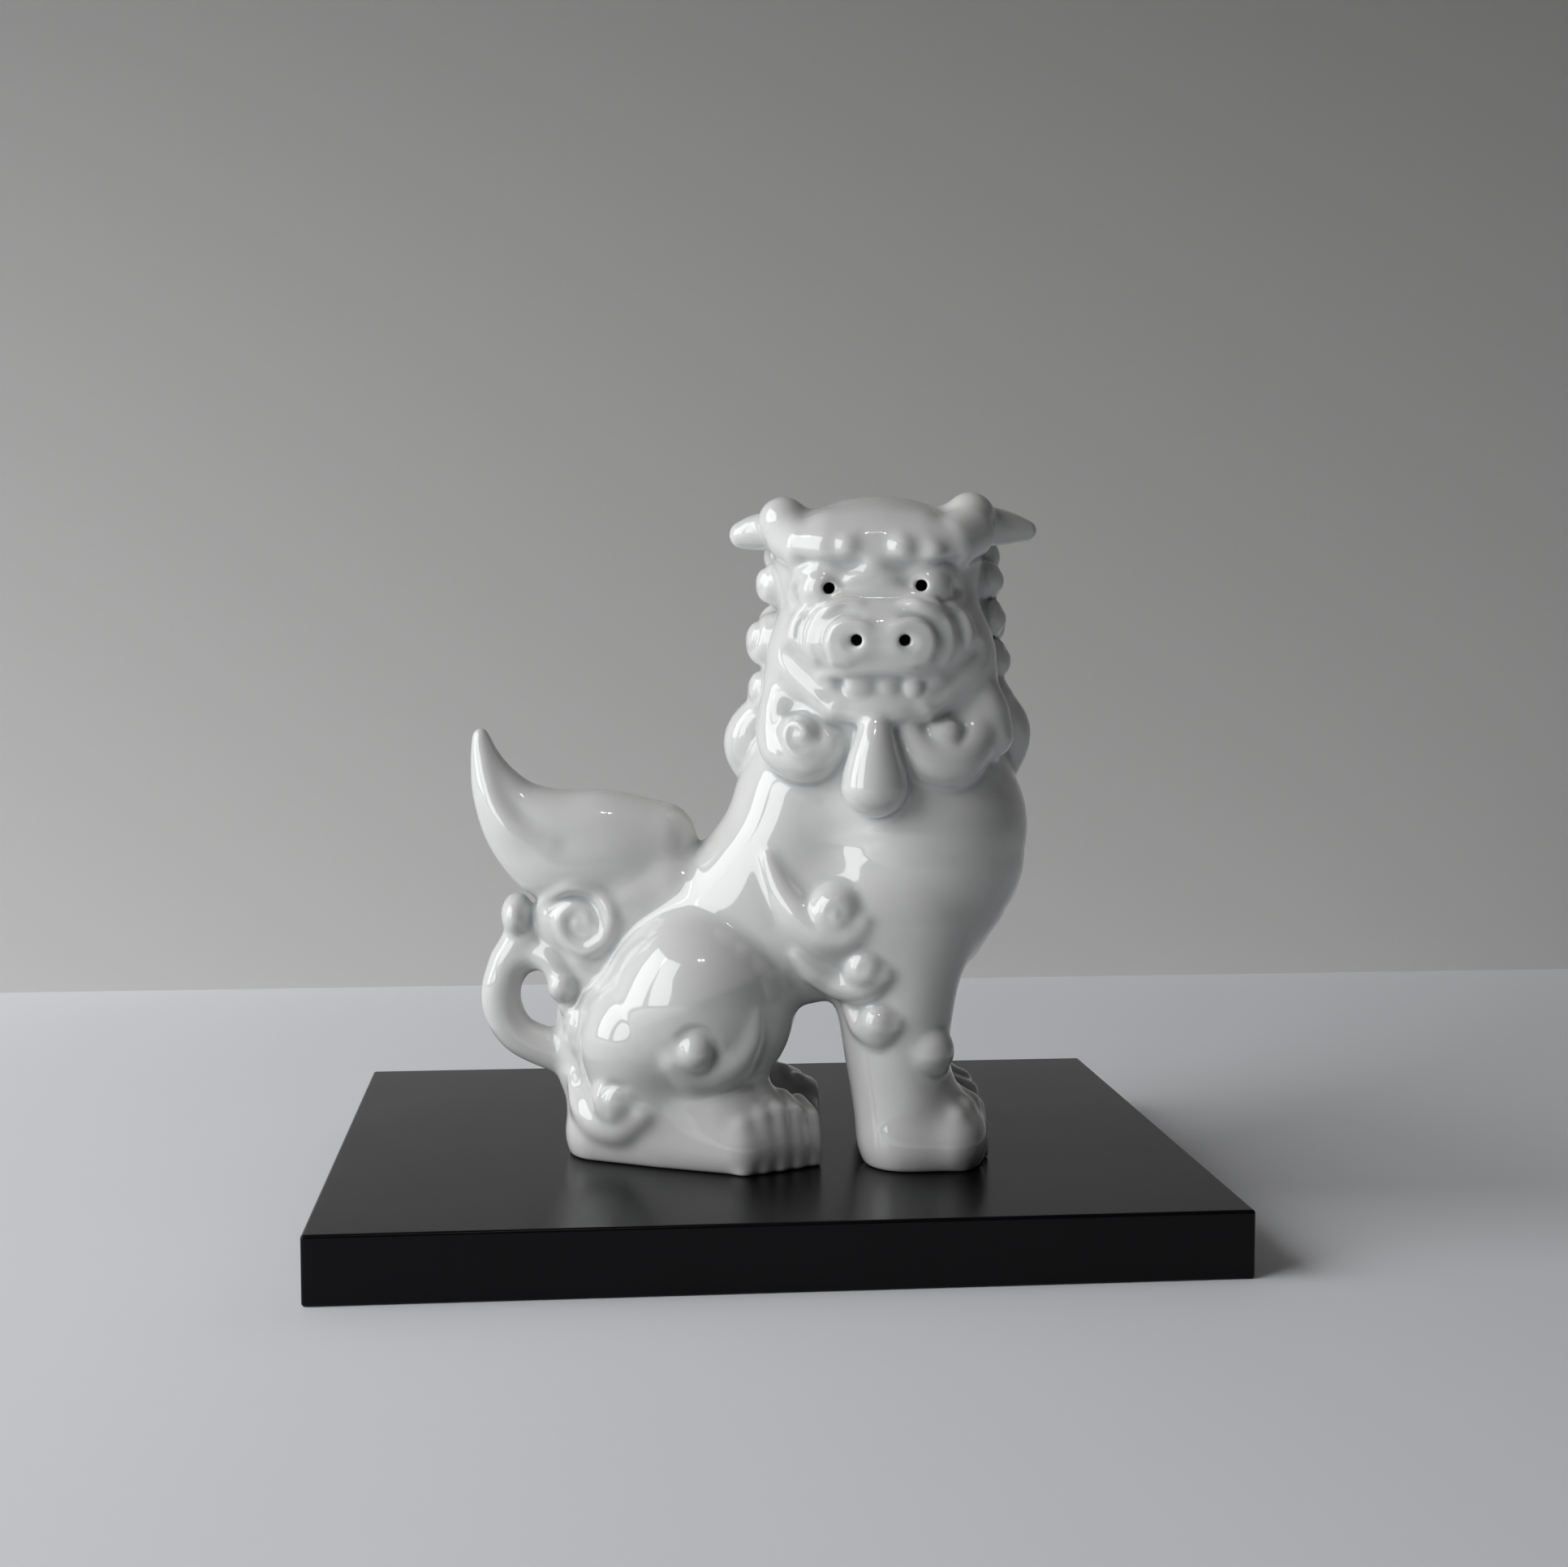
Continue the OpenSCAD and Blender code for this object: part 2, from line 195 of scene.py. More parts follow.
class Clay:
    """Signed distances in millimetres on a grid, and the section that owns each point."""

    def __init__(self, low, high, step):
        self.low = np.array(low, float)
        self.step = step
        self.hold = REACH
        counts = (np.ceil((np.array(high) - self.low) / step)).astype(int) + 1
        self.field = np.full(counts, REACH, np.float32)
        self.owner = np.zeros(counts, np.uint8)
        self.set_axes()

    def set_axes(self):
        self.axes = [(self.low[i] + self.step * np.arange(n)).astype(np.float32)
                     for i, n in enumerate(self.field.shape)]

    def window(self, form, margin):
        first = np.floor((form.low - margin - self.low) / self.step).astype(int)
        last = np.ceil((form.high + margin - self.low) / self.step).astype(int) + 1
        first = np.maximum(first, 0)
        last = np.minimum(last, self.field.shape)
        region = tuple(slice(a, b) for a, b in zip(first, last))
        x, y, z = (self.axes[i][region[i]] for i in range(3))
        return region, x[:, None, None], y[None, :, None], z[None, None, :]

    def add(self, form, owner, blend):
        """Joins a form on with a soft fillet. The form owns the surface where it is the nearer."""
        region, x, y, z = self.window(form, max(blend + SKIN, self.hold))
        old = self.field[region]
        new = form.distance(x, y, z).astype(np.float32)
        soft = np.maximum(blend - np.abs(old - new), 0) / blend
        self.owner[region] = np.where(new < old, SECTIONS.index(owner), self.owner[region])
        self.field[region] = np.minimum(old, new) - soft ** 3 * (blend / 6)

    def cut(self, form, blend):
        """Takes a form away with a softened edge."""
        region, x, y, z = self.window(form, blend + SKIN)
        old = self.field[region]
        new = -form.distance(x, y, z).astype(np.float32)
        soft = np.maximum(blend - np.abs(old - new), 0) / blend
        self.field[region] = np.maximum(old, new) + soft ** 3 * (blend / 6)

    def refine(self):
        """Halves the step. New values lie on cubic curves through the old ones."""
        for axis in range(3):
            f = np.moveaxis(self.field, axis, 0)
            fine = np.empty((2 * len(f) - 1,) + f.shape[1:], np.float32)
            fine[::2] = f
            middle = 0.5 * (f[:-1] + f[1:])
            middle[1:-1] = 0.5625 * (f[1:-2] + f[2:-1]) - 0.0625 * (f[:-3] + f[3:])
            fine[1::2] = middle
            self.field = np.ascontiguousarray(np.moveaxis(fine, 0, axis))
            self.owner = np.repeat(self.owner, 2, axis=axis)
            self.owner = self.owner[tuple(slice(0, n) for n in self.field.shape)]
        self.step /= 2
        self.hold = FINE_REACH
        self.set_axes()

    def soften(self, passes):
        """Rounds every edge and fills every crease a little, as a thick glaze does."""
        for _ in range(passes):
            for axis in range(3):
                f = np.moveaxis(self.field, axis, 0)
                f[1:-1] = 0.25 * (f[:-2] + f[2:]) + 0.5 * f[1:-1]

    def sample(self, points):
        """The field at any points, by straight interpolation."""
        at = (np.asarray(points) - self.low) / self.step
        at = np.clip(at, 0, np.array(self.field.shape) - 1.001)
        cell = at.astype(int)
        t = (at - cell).astype(np.float32)
        total = np.zeros(len(at), np.float32)
        for corner in range(8):
            bits = [(corner >> i) & 1 for i in range(3)]
            weight = np.ones(len(at), np.float32)
            for i in range(3):
                weight *= t[:, i] if bits[i] else 1 - t[:, i]
            total += weight * self.field[tuple((cell + bits).T)]
        return total

    def slope(self, points, reach=0.6):
        """The direction in which the field grows, one unit long."""
        way = np.empty((len(points), 3), np.float32)
        for i in range(3):
            offset = np.zeros(3)
            offset[i] = reach
            way[:, i] = self.sample(points + offset) - self.sample(points - offset)
        return way / (np.linalg.norm(way, axis=1, keepdims=True) + 1e-9)

    def land(self, starts, way, depth=60.0, pace=0.5):
        """Where lines from these starts first meet the clay."""
        starts = np.asarray(starts, float)
        found = np.full(len(starts), depth)
        before = self.sample(starts)
        for gone in np.arange(pace, depth, pace):
            now = self.sample(starts + gone * way)
            hit = (now < 0) & (before >= 0) & (found == depth)
            found[hit] = gone - pace * (-now[hit]) / (before[hit] - now[hit] + 1e-9)
            before = now
        return starts + found[:, None] * way


# ---- Marks drawn on the clay's surface ----

class View:
    """A flat view of the clay, for marks that are drawn on its surface along one direction."""

    def __init__(self, place, into):
        self.place, self.into = place, unit(into)

    def drawn(self, clay, outline):
        flat = spline(outline, 6)
        hits = clay.land(np.array([self.place(*p[:2]) for p in flat]), self.into)
        depth = hits @ self.into
        for _ in range(3):
            depth[1:-1] = 0.25 * depth[:-2] + 0.5 * depth[1:-1] + 0.25 * depth[2:]
        return hits + (depth - hits @ self.into)[:, None] * self.into


FACE = View(lambda s, z: head(s, -55, z), head_way(0, 1, 0))
SIDES = {NEAR: View(lambda u, z: np.array((u, -50.0, z)), (0, 1, 0)),
         FAR: View(lambda u, z: np.array((u, 50.0, z)), (0, -1, 0))}


def fullness(count):
    """How full a drawn mark is at each of its points. It thins towards both ends."""
    t = np.linspace(0, 1, count)
    return np.sqrt(np.clip(t * (1 - t) * 6, 0, 1))


def ridge(clay, view, outline, radius, rise, owner, blend):
    """Raises a rounded ridge along an outline. Its ends taper off."""
    run = view.drawn(clay, outline)
    fade = fullness(len(run))
    radii = np.maximum(radius * (0.45 + 0.55 * fade), 0.3)
    run = run + view.into * (radii - rise * fade)[:, None]
    clay.add(chain(run, radii), owner, blend)


def groove(clay, view, outline, radius, depth, blend):
    """Presses a rounded groove along an outline. It gets shallower towards its ends."""
    run = view.drawn(clay, outline)
    run = run - view.into * (radius - depth * fullness(len(run)))[:, None]
    clay.cut(chain(run, radius), blend)


def snail(clay, owner, centre, radius, outward, hand, start, turns, blend):
    """A round curl with a groove that winds into its middle."""
    out = unit(outward)
    across = unit(np.cross((0, 0, 1), out))
    up = np.cross(out, across)
    clay.add(ball(centre, radius), owner, blend)
    t = np.linspace(0, 1, 34)
    angle = math.radians(start) + hand * 2 * math.pi * turns * t
    wide = np.minimum(radius * (0.86 * (1 - t) ** 0.62 + 0.12), radius * 0.93)
    lift = np.sqrt(radius ** 2 - wide ** 2)
    run = (centre + lift[:, None] * out
           + (wide * np.cos(angle))[:, None] * across + (wide * np.sin(angle))[:, None] * up)
    clay.cut(chain(run, radius * (0.13 - 0.05 * t)), 0.16 * radius)


# ---- The lion, section by section ----

SECTIONS = [
    "torso_shell", "haunch_right", "haunch_left", "foreleg_right", "foreleg_left",
    "forepaw_right", "forepaw_left", "hind_paw_right", "hind_paw_left", "head_shell", "muzzle",
    "lower_jaw", "eye_right", "eye_left", "brow_right", "brow_left", "crown_knob_right",
    "crown_knob_left", "ear_right", "ear_left", "throat_curl_right", "throat_curl_left",
    "beard_lock", "mane_curls_right", "mane_curls_left", "mane_curls_back", "leg_curls_right",
    "leg_curls_left", "haunch_curls_right", "haunch_curls_left", "tail_stem", "tail_plume",
    "tail_loop", "tail_curl_right", "tail_curl_left", "tail_knob", "tail_tuft_right",
    "tail_tuft_left",
]


def on_side(side, u, v, z, *more):
    """A point of the right side, or its mirror on the left, with anything that follows it."""
    return (u, v if side == NEAR else -v, z) + more


def row_on_side(side, points):
    """The same for several points."""
    return [on_side(side, *point) for point in points]


def named(stem, side):
    return stem + ("_right" if side == NEAR else "_left")


def model_torso(clay):
    neck = [(29, -1, 112, 18.5), (30, 0, 98, 21.5), (37, 0, 77, 25.5), (36.5, 0, 62, 20.5),
            (35, 0, 51, 15)]
    back = [(22, 0, 103, 15), (13, 0, 87, 17.5), (8, 0, 72, 18), (0, 0, 60, 18.5),
            (-13, 0, 46, 19), (-25, 0, 33, 16), (-34.5, 0, 22, 11), (-36, 0, 9, 10),
            (-35.5, 0, -2, 9.5)]
    clay.add(lock(neck, 3), "torso_shell", 8)
    clay.add(lock(back, 3), "torso_shell", 12)
    clay.add(chain([(4, 0, 62), (32, 0, 63)], (16, 17)), "torso_shell", 10)
    clay.add(chain([(-10, 0, 30), (-12, 0, 2)], (13, 10)), "torso_shell", 10)
    for side in (NEAR, FAR):
        shoulder = row_on_side(side, [(6, -5, 53), (26, -9, 56)])
        clay.add(chain(shoulder, (16.5, 17)), "torso_shell", 9)
        belly = row_on_side(side, [(-2, -8, 44), (10, -8, 45)])
        clay.add(chain(belly, (10.5, 8.5)), "torso_shell", 5)


def model_haunch(clay, side):
    owner = named("haunch", side)
    clay.add(ball(on_side(side, -14, -9, 37), 21.3), owner, 4)
    for points, radii, blend in (
            ([(-14, -9, 36), (-25, -9, 28)], (21, 17.5), 6),
            ([(-12.5, -10, 37), (-9.5, -11, 30)], (20, 13.5), 5),
            ([(-24, -9, 24), (-31, -9, 12)], (15, 10), 7)):
        clay.add(chain(row_on_side(side, points), radii), owner, blend)


def model_foreleg(clay, side):
    owner = named("foreleg", side)
    leg = [(35.5, -12, 55, 13), (34, -13, 44, 11.8), (33, -13.5, 28, 10.6), (33.5, -14, 16, 10.2),
           (34, -14.5, 6, 10.8)]
    clay.add(lock(row_on_side(side, leg), 4), owner, 9)
    back = [(27, -11.5, 44), (29.2, -12.5, 28), (32, -14, 10)]
    clay.add(chain(row_on_side(side, back), (10.8, 10.1, 9.4)), owner, 6)


def toes(clay, owner, first, last, count, height, out):
    """A row of toes on the front of a paw: low rounded bars from the ground over the knuckle."""
    first, last, out = np.array(first[:2]), np.array(last[:2]), unit(out[:2])
    pitch = np.linalg.norm(last - first) / count
    r = 0.62 * pitch
    for i in range(count):
        spot = first + (last - first) * (i + 0.5) / count
        bow = 1 - (2 * (i + 0.5) / count - 1) ** 2
        spot = spot - out * (r - (0.35 + 0.65 * bow))
        top = height * (0.78 + 0.22 * bow)
        bar = [np.append(spot, 0), np.append(spot - out * 0.2, top * 0.5),
               np.append(spot - out * 1.4, top - r * 1.1),
               np.append(spot - out * 6.0, top - r * 0.1)]
        clay.add(chain(bar, (r, r, r * 1.12, r * 0.85)), owner, 1.7)


def model_paws(clay, side):
    hind = named("hind_paw", side)
    for points, radii, blend in (
            ([(-36, -7, 5), (-20, -13.5, 5), (-4.2, -20.6, 5), (6.5, -14.6, 5)],
             (9.6, 9.6, 8.2, 7.4), 6),
            ([(-22, -12, 12), (-6, -16.5, 9)], (10.5, 8.8), 7),
            ([(-10, -14, 17), (0.5, -15.8, 9)], (9, 7.8), 6),
            ([(-27, -11, 15), (-9, -16.5, 13.5)], (9.6, 8.4), 8)):
        clay.add(chain(row_on_side(side, points), radii), hind, blend)
    first, last, out = row_on_side(side, [(-4.2, -28.7, 0), (14.4, -17.7, 0), (0.5, -0.86, 0)])
    toes(clay, hind, first, last, 5, 15.8, out)
    fore = named("forepaw", side)
    for points, radii, blend in (([(33, -16.2, 5), (43.4, -17.4, 5.6)], (8.8, 8.4), 5),
                                 ([(36, -13, 15), (44, -13, 7)], (9.2, 8.0), 6)):
        clay.add(chain(row_on_side(side, points), radii), fore, blend)
    first, last, out = row_on_side(side, [(47.0, -23.6, 0), (53.4, -7.6, 0), (0.92, -0.38, 0)])
    toes(clay, fore, first, last, 4, 16.5, out)


def model_tail_mass(clay):
    stem = [(-22, 0, 62, 11.5), (-31, 0, 58, 11.5), (-38, 0, 51, 10.5), (-40, 0, 40, 8),
            (-41, 0, 29, 7.8), (-40, 0, 20, 8.5)]
    clay.add(lock(stem, 3), "tail_stem", 6)
    clay.add(egg((-43.5, 0, 54.5), (10.8, 7.6, 8.8)), "tail_stem", 4)


def model_plume(clay):
    """The upswept flame: flatter than it is tall, with a soft keel down each side."""
    upper = [(-24, 0, 74, 8.6), (-36, 0, 75.5, 9.6), (-47, 0, 76.5, 8.8), (-56, 0, 81, 6.2),
             (-61.8, 0, 87.8, 4.0), (-64.9, 0, 94.4, 2.3), (-66.0, 0, 98.0, 1.4)]
    lower = [(-24, 0, 69, 8.6), (-35, 0, 68.8, 11.0), (-47, 0, 68.5, 10.6), (-57, 0, 74.5, 7.6),
             (-63.0, 0, 84, 5.0), (-65.6, 0, 92.5, 2.8), (-66.1, 0, 97.8, 1.5)]
    clay.add(lock(upper, 9), "tail_plume", 3)
    clay.add(lock(lower, 9), "tail_plume", 3)
    keel = [(-65.9, 0, 96.5), (-64.2, 0, 88.5), (-61.2, 0, 81), (-56.4, 0, 75.4),
            (-49, 0, 72.5)]
    bulge = (1.4, 4.6, 7.2, 9.2, 9.6)
    for side in (NEAR, FAR):
        run = [(u, side * b * 0.56, z, b * 0.42) for (u, _, z), b in zip(keel, bulge)]
        clay.add(lock(run, 9), "tail_plume", 3)


def model_tail_locks(clay):
    band = [(-43, 0, 22, 5.5), (-50, 0, 23.5, 4.9), (-57.5, 0, 27, 4.6), (-61.3, 0, 33, 4.7),
            (-61.4, 0, 39.5, 4.7), (-58.5, 0, 44.8, 4.6), (-53.2, -1.2, 46.8, 4.4),
            (-48.8, -3.6, 45.2, 3.9), (-46.3, -5.2, 40.8, 3.4)]
    clay.add(lock(band, 8), "tail_loop", 2.4)
    clay.add(ball((-46.3, -6.6, 39.4), 3.6), "tail_loop", 1.4)
    clay.add(ball((-45.0, -5.6, 35.0), 2.7), "tail_loop", 1.4)
    clay.add(chain([(-55.5, 0, 51.5), (-59.5, 0, 45)], (5.0, 4.4)), "tail_loop", 3)
    coil = [(-52, 58), (-47.5, 62), (-43, 63.5), (-37.5, 61.5), (-34.5, 57), (-36, 51.5),
            (-40.5, 48.5), (-45, 51), (-46.5, 55.5), (-44, 58), (-40.5, 57.4), (-39.8, 54.4)]
    for side in (NEAR, FAR):
        curl = named("tail_curl", side)
        clay.add(egg(on_side(side, -42.8, -4.0, 55.5), (9.6, 5.0, 9.0)), curl, 2.4)
        ridge(clay, SIDES[side], coil, 2.0, 1.0, curl, 1.4)
        clay.add(ball(on_side(side, -42.0, -7.6, 55.0), 2.5), curl, 1.2)
        tuft = named("tail_tuft", side)
        clay.add(egg(on_side(side, -42.0, -6.6, 29.6), (3.9, 4.6, 6.0), lean=-8), tuft, 1.6)
        tip = row_on_side(side, [(-41.4, -8.2, 26), (-39.4, -9.4, 21)])
        clay.add(chain(tip, (2.8, 1.0)), tuft, 1.6)
    clay.add(egg((-57.6, 0, 55.4), (3.9, 7.2, 5.4), lean=-8), "tail_knob", 1.6)


def swell(clay, view, outline, radii, sink, owner, blend):
    """A low swelling along an outline drawn on the surface, sunk by a share of its radius."""
    run = view.drawn(clay, outline)
    grow = np.interp(np.linspace(0, 1, len(run)), np.linspace(0, 1, len(radii)), radii)
    clay.add(chain(run + view.into * (grow * sink)[:, None], grow), owner, blend)


def model_leg_locks(clay, side):
    """Each lock sweeps down the leg, passes under its knob and comes up on the far side."""
    owner = named("leg_curls", side)
    view = SIDES[side]
    for outline, radii, sink, blend, knob, size, join in (
            ([(1.8, 71), (4.6, 64.5), (9.0, 58.6), (14.6, 54.6), (19.8, 54.4), (23.0, 57.0)],
             (1.2, 3.0, 4.4, 5.0, 4.2, 2.4), 0.50, 3.0, (17.4, -20.8, 59.2), 6.9, 1.8),
            ([(8.6, 49.4), (12.6, 45.4), (18.0, 42.6), (24.0, 42.4), (27.8, 45.4)],
             (1.2, 3.0, 3.8, 3.6, 2.6), 0.30, 2.6, (24.0, -22.4, 46.6), 5.0, 1.4),
            ([(20.2, 37), (23, 33), (27.2, 31.2), (30.4, 33.8)],
             (1.2, 2.6, 3.0, 2.2), 0.35, 2.2, (27.0, -22.0, 34.0), 4.6, 1.4)):
        swell(clay, view, outline, radii, sink, owner, blend)
        clay.add(ball(on_side(side, *knob), size), owner, join)
    clay.add(ball(on_side(side, 38.4, -19.2, 27.2), 6.0), owner, 2.2)
    for mark in ([(16.0, 56.8), (15.2, 59.4), (16.8, 61.4), (18.6, 60.2), (17.6, 58.8)],
                 [(22.8, 45.6), (22.8, 47.4), (24.4, 48.0)]):
        groove(clay, view, mark, 0.8, 0.35, 1.0)


def model_haunch_locks(clay, side):
    owner = named("haunch_curls", side)
    view = SIDES[side]
    swell(clay, view, [(-0.6, 36.4), (-2.4, 30.6), (-5.4, 26.4), (-9.6, 23.8), (-14.4, 23.2),
                       (-18.4, 26.2)], (1.2, 3.4, 5.0, 5.6, 5.2, 3.8), 0.72, owner, 3.0)
    clay.add(ball(on_side(side, -14.2, -27.0, 28.4), 4.6), owner, 1.8)
    groove(clay, view, [(-9.8, 26.0), (-9.4, 29.4), (-11.4, 33.0), (-15.0, 33.8), (-18.4, 31.4)],
           1.1, 0.45, 1.8)
    swell(clay, view, [(-43.6, 19), (-41.4, 13.4), (-36.8, 9.6), (-31.2, 9.4), (-26.6, 12.8)],
          (1.4, 3.4, 4.6, 4.8, 3.4), 0.70, owner, 2.6)
    clay.add(ball(on_side(side, -32.0, -17.2, 15.4), 6.8), owner, 2.2)
    groove(clay, view, [(-35.4, 12.6), (-36.6, 16.2), (-34.4, 19.6), (-30.6, 19.4)],
           0.9, 0.4, 1.4)


def model_skull(clay):
    clay.add(egg(head(-0.8, -3, 137.2), (24.2, 21, 16.6), turn=HEAD_TURN), "head_shell", 7)
    clay.add(egg(head(0, 3, 127), (23.2, 22, 20), turn=HEAD_TURN), "head_shell", 7)
    clay.add(egg(head(0, -7, 124), (23, 15.5, 16), turn=HEAD_TURN), "head_shell", 6)
    clay.add(chain([head(-12.5, -10, 115), head(12.5, -10, 115)], (12, 12)), "head_shell", 7)
    clay.add(chain([head(-11, -14, 140.5), head(8.5, -14, 140.5)], (9.2, 9.2)), "head_shell", 5)
    for s in (-1, 1):
        clay.add(chain([head(18 * s, -9, 112), head(17 * s, -12, 99)], (8.5, 8)),
                 "head_shell", 6)


def model_muzzle(clay):
    clay.add(egg(head(0.6, -15.0, 120.8), (19.6, 14.0, 11.6), turn=HEAD_TURN), "muzzle", 5)
    for s in (-1, 1):
        clay.add(egg(head(5.6 * s, -15.6, 120.2), (11.0, 14.4, 9.2), turn=HEAD_TURN + 4 * s),
                 "muzzle", 6)
        clay.add(egg(head(16.2 * s, -11.5, 119.5), (8.6, 10.5, 10.0)), "muzzle", 6)
    clay.add(egg(head(0, -15.4, 110.2), (13.8, 11.4, 8.4), turn=HEAD_TURN), "lower_jaw", 6)
    clay.add(egg(head(-1, -12.5, 97.5), (17, 9.8, 13)), "head_shell", 6)


def model_jaw(clay):
    opening = [(-9.4, -26.4, 110.2, 2.9), (-3, -28.3, 110.2, 3.2), (3, -28.3, 110.2, 3.2),
               (9.0, -26.4, 110.2, 2.9)]
    clay.cut(head_lock(opening), 2.0)
    lip = [(-8.8, -22.2, 105.4, 2.5), (-3.6, -23.8, 104.6, 2.9), (3.6, -23.8, 104.6, 2.9),
           (8.6, -22.2, 105.4, 2.5)]
    clay.add(head_lock(lip), "lower_jaw", 2.4)
    for m in (-1, 1):
        fold = [(21.5, -11.8, 118.0, 3.4), (17.6, -16.8, 113.8, 3.8), (13.6, -20.4, 109.8, 3.6),
                (10.4, -22.0, 106.0, 3.0)]
        clay.add(head_lock([(m * s, d, z, r) for s, d, z, r in fold]), "lower_jaw", 4.0)
    for s, d, wide, tall in ((-4.8, -25.0, 3.3, 2.8), (1.4, -24.6, 2.6, 2.2),
                             (7.2, -24.6, 2.2, 2.8)):
        clay.add(egg(head(s, d, 110.6), (wide, 1.5, tall), turn=HEAD_TURN), "lower_jaw", 1.6)
    for tooth in ((13.4, -22.4, 112.6), (16.0, -20.4, 114.6), (18.6, -17.8, 116.6)):
        clay.add(ball(head(*tooth), 1.6), "lower_jaw", 1.2)


def model_eyes(clay):
    for owner, s, z, m in (("eye_right", -13.4, 131.8, -1), ("eye_left", 10.6, 132.2, 1)):
        clay.add(ball(head(s, -18.8, z), 5.6), owner, 1.4)
        upper = [(s + m * 7.2, z + 0.4), (s + m * 4.2, z + 3.8), (s - m * 0.4, z + 5.0),
                 (s - m * 4.6, z + 3.4)]
        lower = [(s + m * 7.6, z - 1.4), (s + m * 4.6, z - 4.4), (s - m * 0.6, z - 5.3),
                 (s - m * 4.8, z - 3.2)]
        ridge(clay, FACE, upper, 1.3, 0.8, "head_shell", 1.4)
        ridge(clay, FACE, lower, 1.3, 1.1, "head_shell", 1.2)


def model_brows(clay):
    right = [(-6.4, -19.2, 141.4, 4.4), (-12.0, -18.6, 141.0, 4.9), (-17.4, -15.6, 141.6, 5.5),
             (-20.8, -10.8, 143.8, 5.5)]
    left = [(4.6, -19.4, 141.2, 4.4), (10.0, -18.8, 141.0, 4.8), (15.8, -15.6, 142.4, 6.0),
            (19.6, -10.8, 145.0, 6.2)]
    for owner, row in (("brow_right", right), ("brow_left", left)):
        clay.add(chain([head(*b[:3]) for b in row], [b[3] for b in row]), owner, 2.4)
    for owner, s, d, z, r in (("brow_right", -7.5, -22.0, 141.2, 2.9),
                              ("brow_left", 4.6, -22.0, 140.7, 3.5),
                              ("brow_left", 11.4, -21.4, 139.8, 3.2)):
        clay.add(ball(head(s, d, z), r), owner, 2.2)
    for under in ([(-18.6, 137.4), (-13.4, 136.6), (-8.0, 136.8), (-4.4, 137.6)],
                  [(1.6, 137.4), (5.8, 136.4), (11.0, 136.4), (17.2, 137.6)]):
        groove(clay, FACE, under, 2.0, 1.1, 2.2)


def model_crown(clay):
    knobs = (("crown_knob_right", -22.6, 147.6), ("crown_knob_left", 20.2, 148.6))
    for owner, s, z in knobs:
        m = -1 if s < 0 else 1
        clay.add(chain([head(s - m * 5, -5, z - 5), head(s, -7, z)], (6.6, 5.9)), owner, 4.5)
    right = [(-24, -2, 146, 4.8), (-29, -1, 145.6, 4.2), (-32.4, 0, 145.0, 3.3)]
    left = [(23, -2, 147, 5.0), (28.5, 0, 146.6, 4.0), (33.6, 1, 146.0, 2.5)]
    for owner, row in (("ear_right", right), ("ear_left", left)):
        clay.add(head_lock(row), owner, 2.6)


def model_face_lines(clay):
    """The rings round the nostrils and the folds over the nose."""
    for m in (-1, 1):
        clay.cut(ball(clay.land([head(m * 6.6, -50, 120.0)], FACE.into)[0]
                      - FACE.into * 2.4, 3.4), 1.6)
        ring = [(m * 2.6, 123.4), (m * 6.4, 124.6), (m * 9.8, 123.4), (m * 11.4, 120.2),
                (m * 10.2, 116.8), (m * 6.6, 115.8)]
        gutter = [(m * 4.6, 126.4), (m * 8.6, 126.4), (m * 12.2, 124.2), (m * 13.4, 120.2),
                  (m * 12.4, 116.4)]
        second = [(m * 4.4, 128.4), (m * 9.0, 128.2), (m * 13.6, 125.6), (m * 15.4, 120.6),
                  (m * 14.0, 116.0)]
        third = [(m * 15.6, 128.4), (m * 18.4, 125.4), (m * 19.6, 120.8), (m * 18.4, 116.8)]
        ridge(clay, FACE, ring, 1.4, 0.5, "muzzle", 1.8)
        groove(clay, FACE, gutter, 0.9, 0.3, 1.4)
        ridge(clay, FACE, second, 1.5, 0.6, "muzzle", 1.8)
        ridge(clay, FACE, third, 1.6, 0.7, "muzzle", 1.8)
    for depth, jowl in ((0.6, [(-22.4, 117.6), (-18.6, 113.6), (-14.6, 109.8), (-11.6, 107.4)]),
                        (1.0, [(23.6, 118.2), (19.6, 114.4), (15.8, 110.6), (12.6, 107.6)])):
        groove(clay, FACE, jowl, 3.0, depth, 2.4)
    ridge(clay, FACE, [(-15.4, 128.4), (-9.0, 130.6), (-1.4, 131.8), (6.8, 130.6), (13.6, 128.0)],
          1.5, 0.9, "muzzle", 1.4)
    ridge(clay, FACE, [(-8.6, 133.6), (-5.0, 134.4), (-0.6, 134.4), (4.0, 133.8)],
          1.2, 0.8, "head_shell", 1.2)
    ridge(clay, FACE, [(-13.6, 112.6), (-9.0, 113.6), (-3.0, 114.4), (3.0, 114.4), (8.8, 113.6),
                       (13.0, 112.6)], 1.3, 0.35, "muzzle", 1.8)


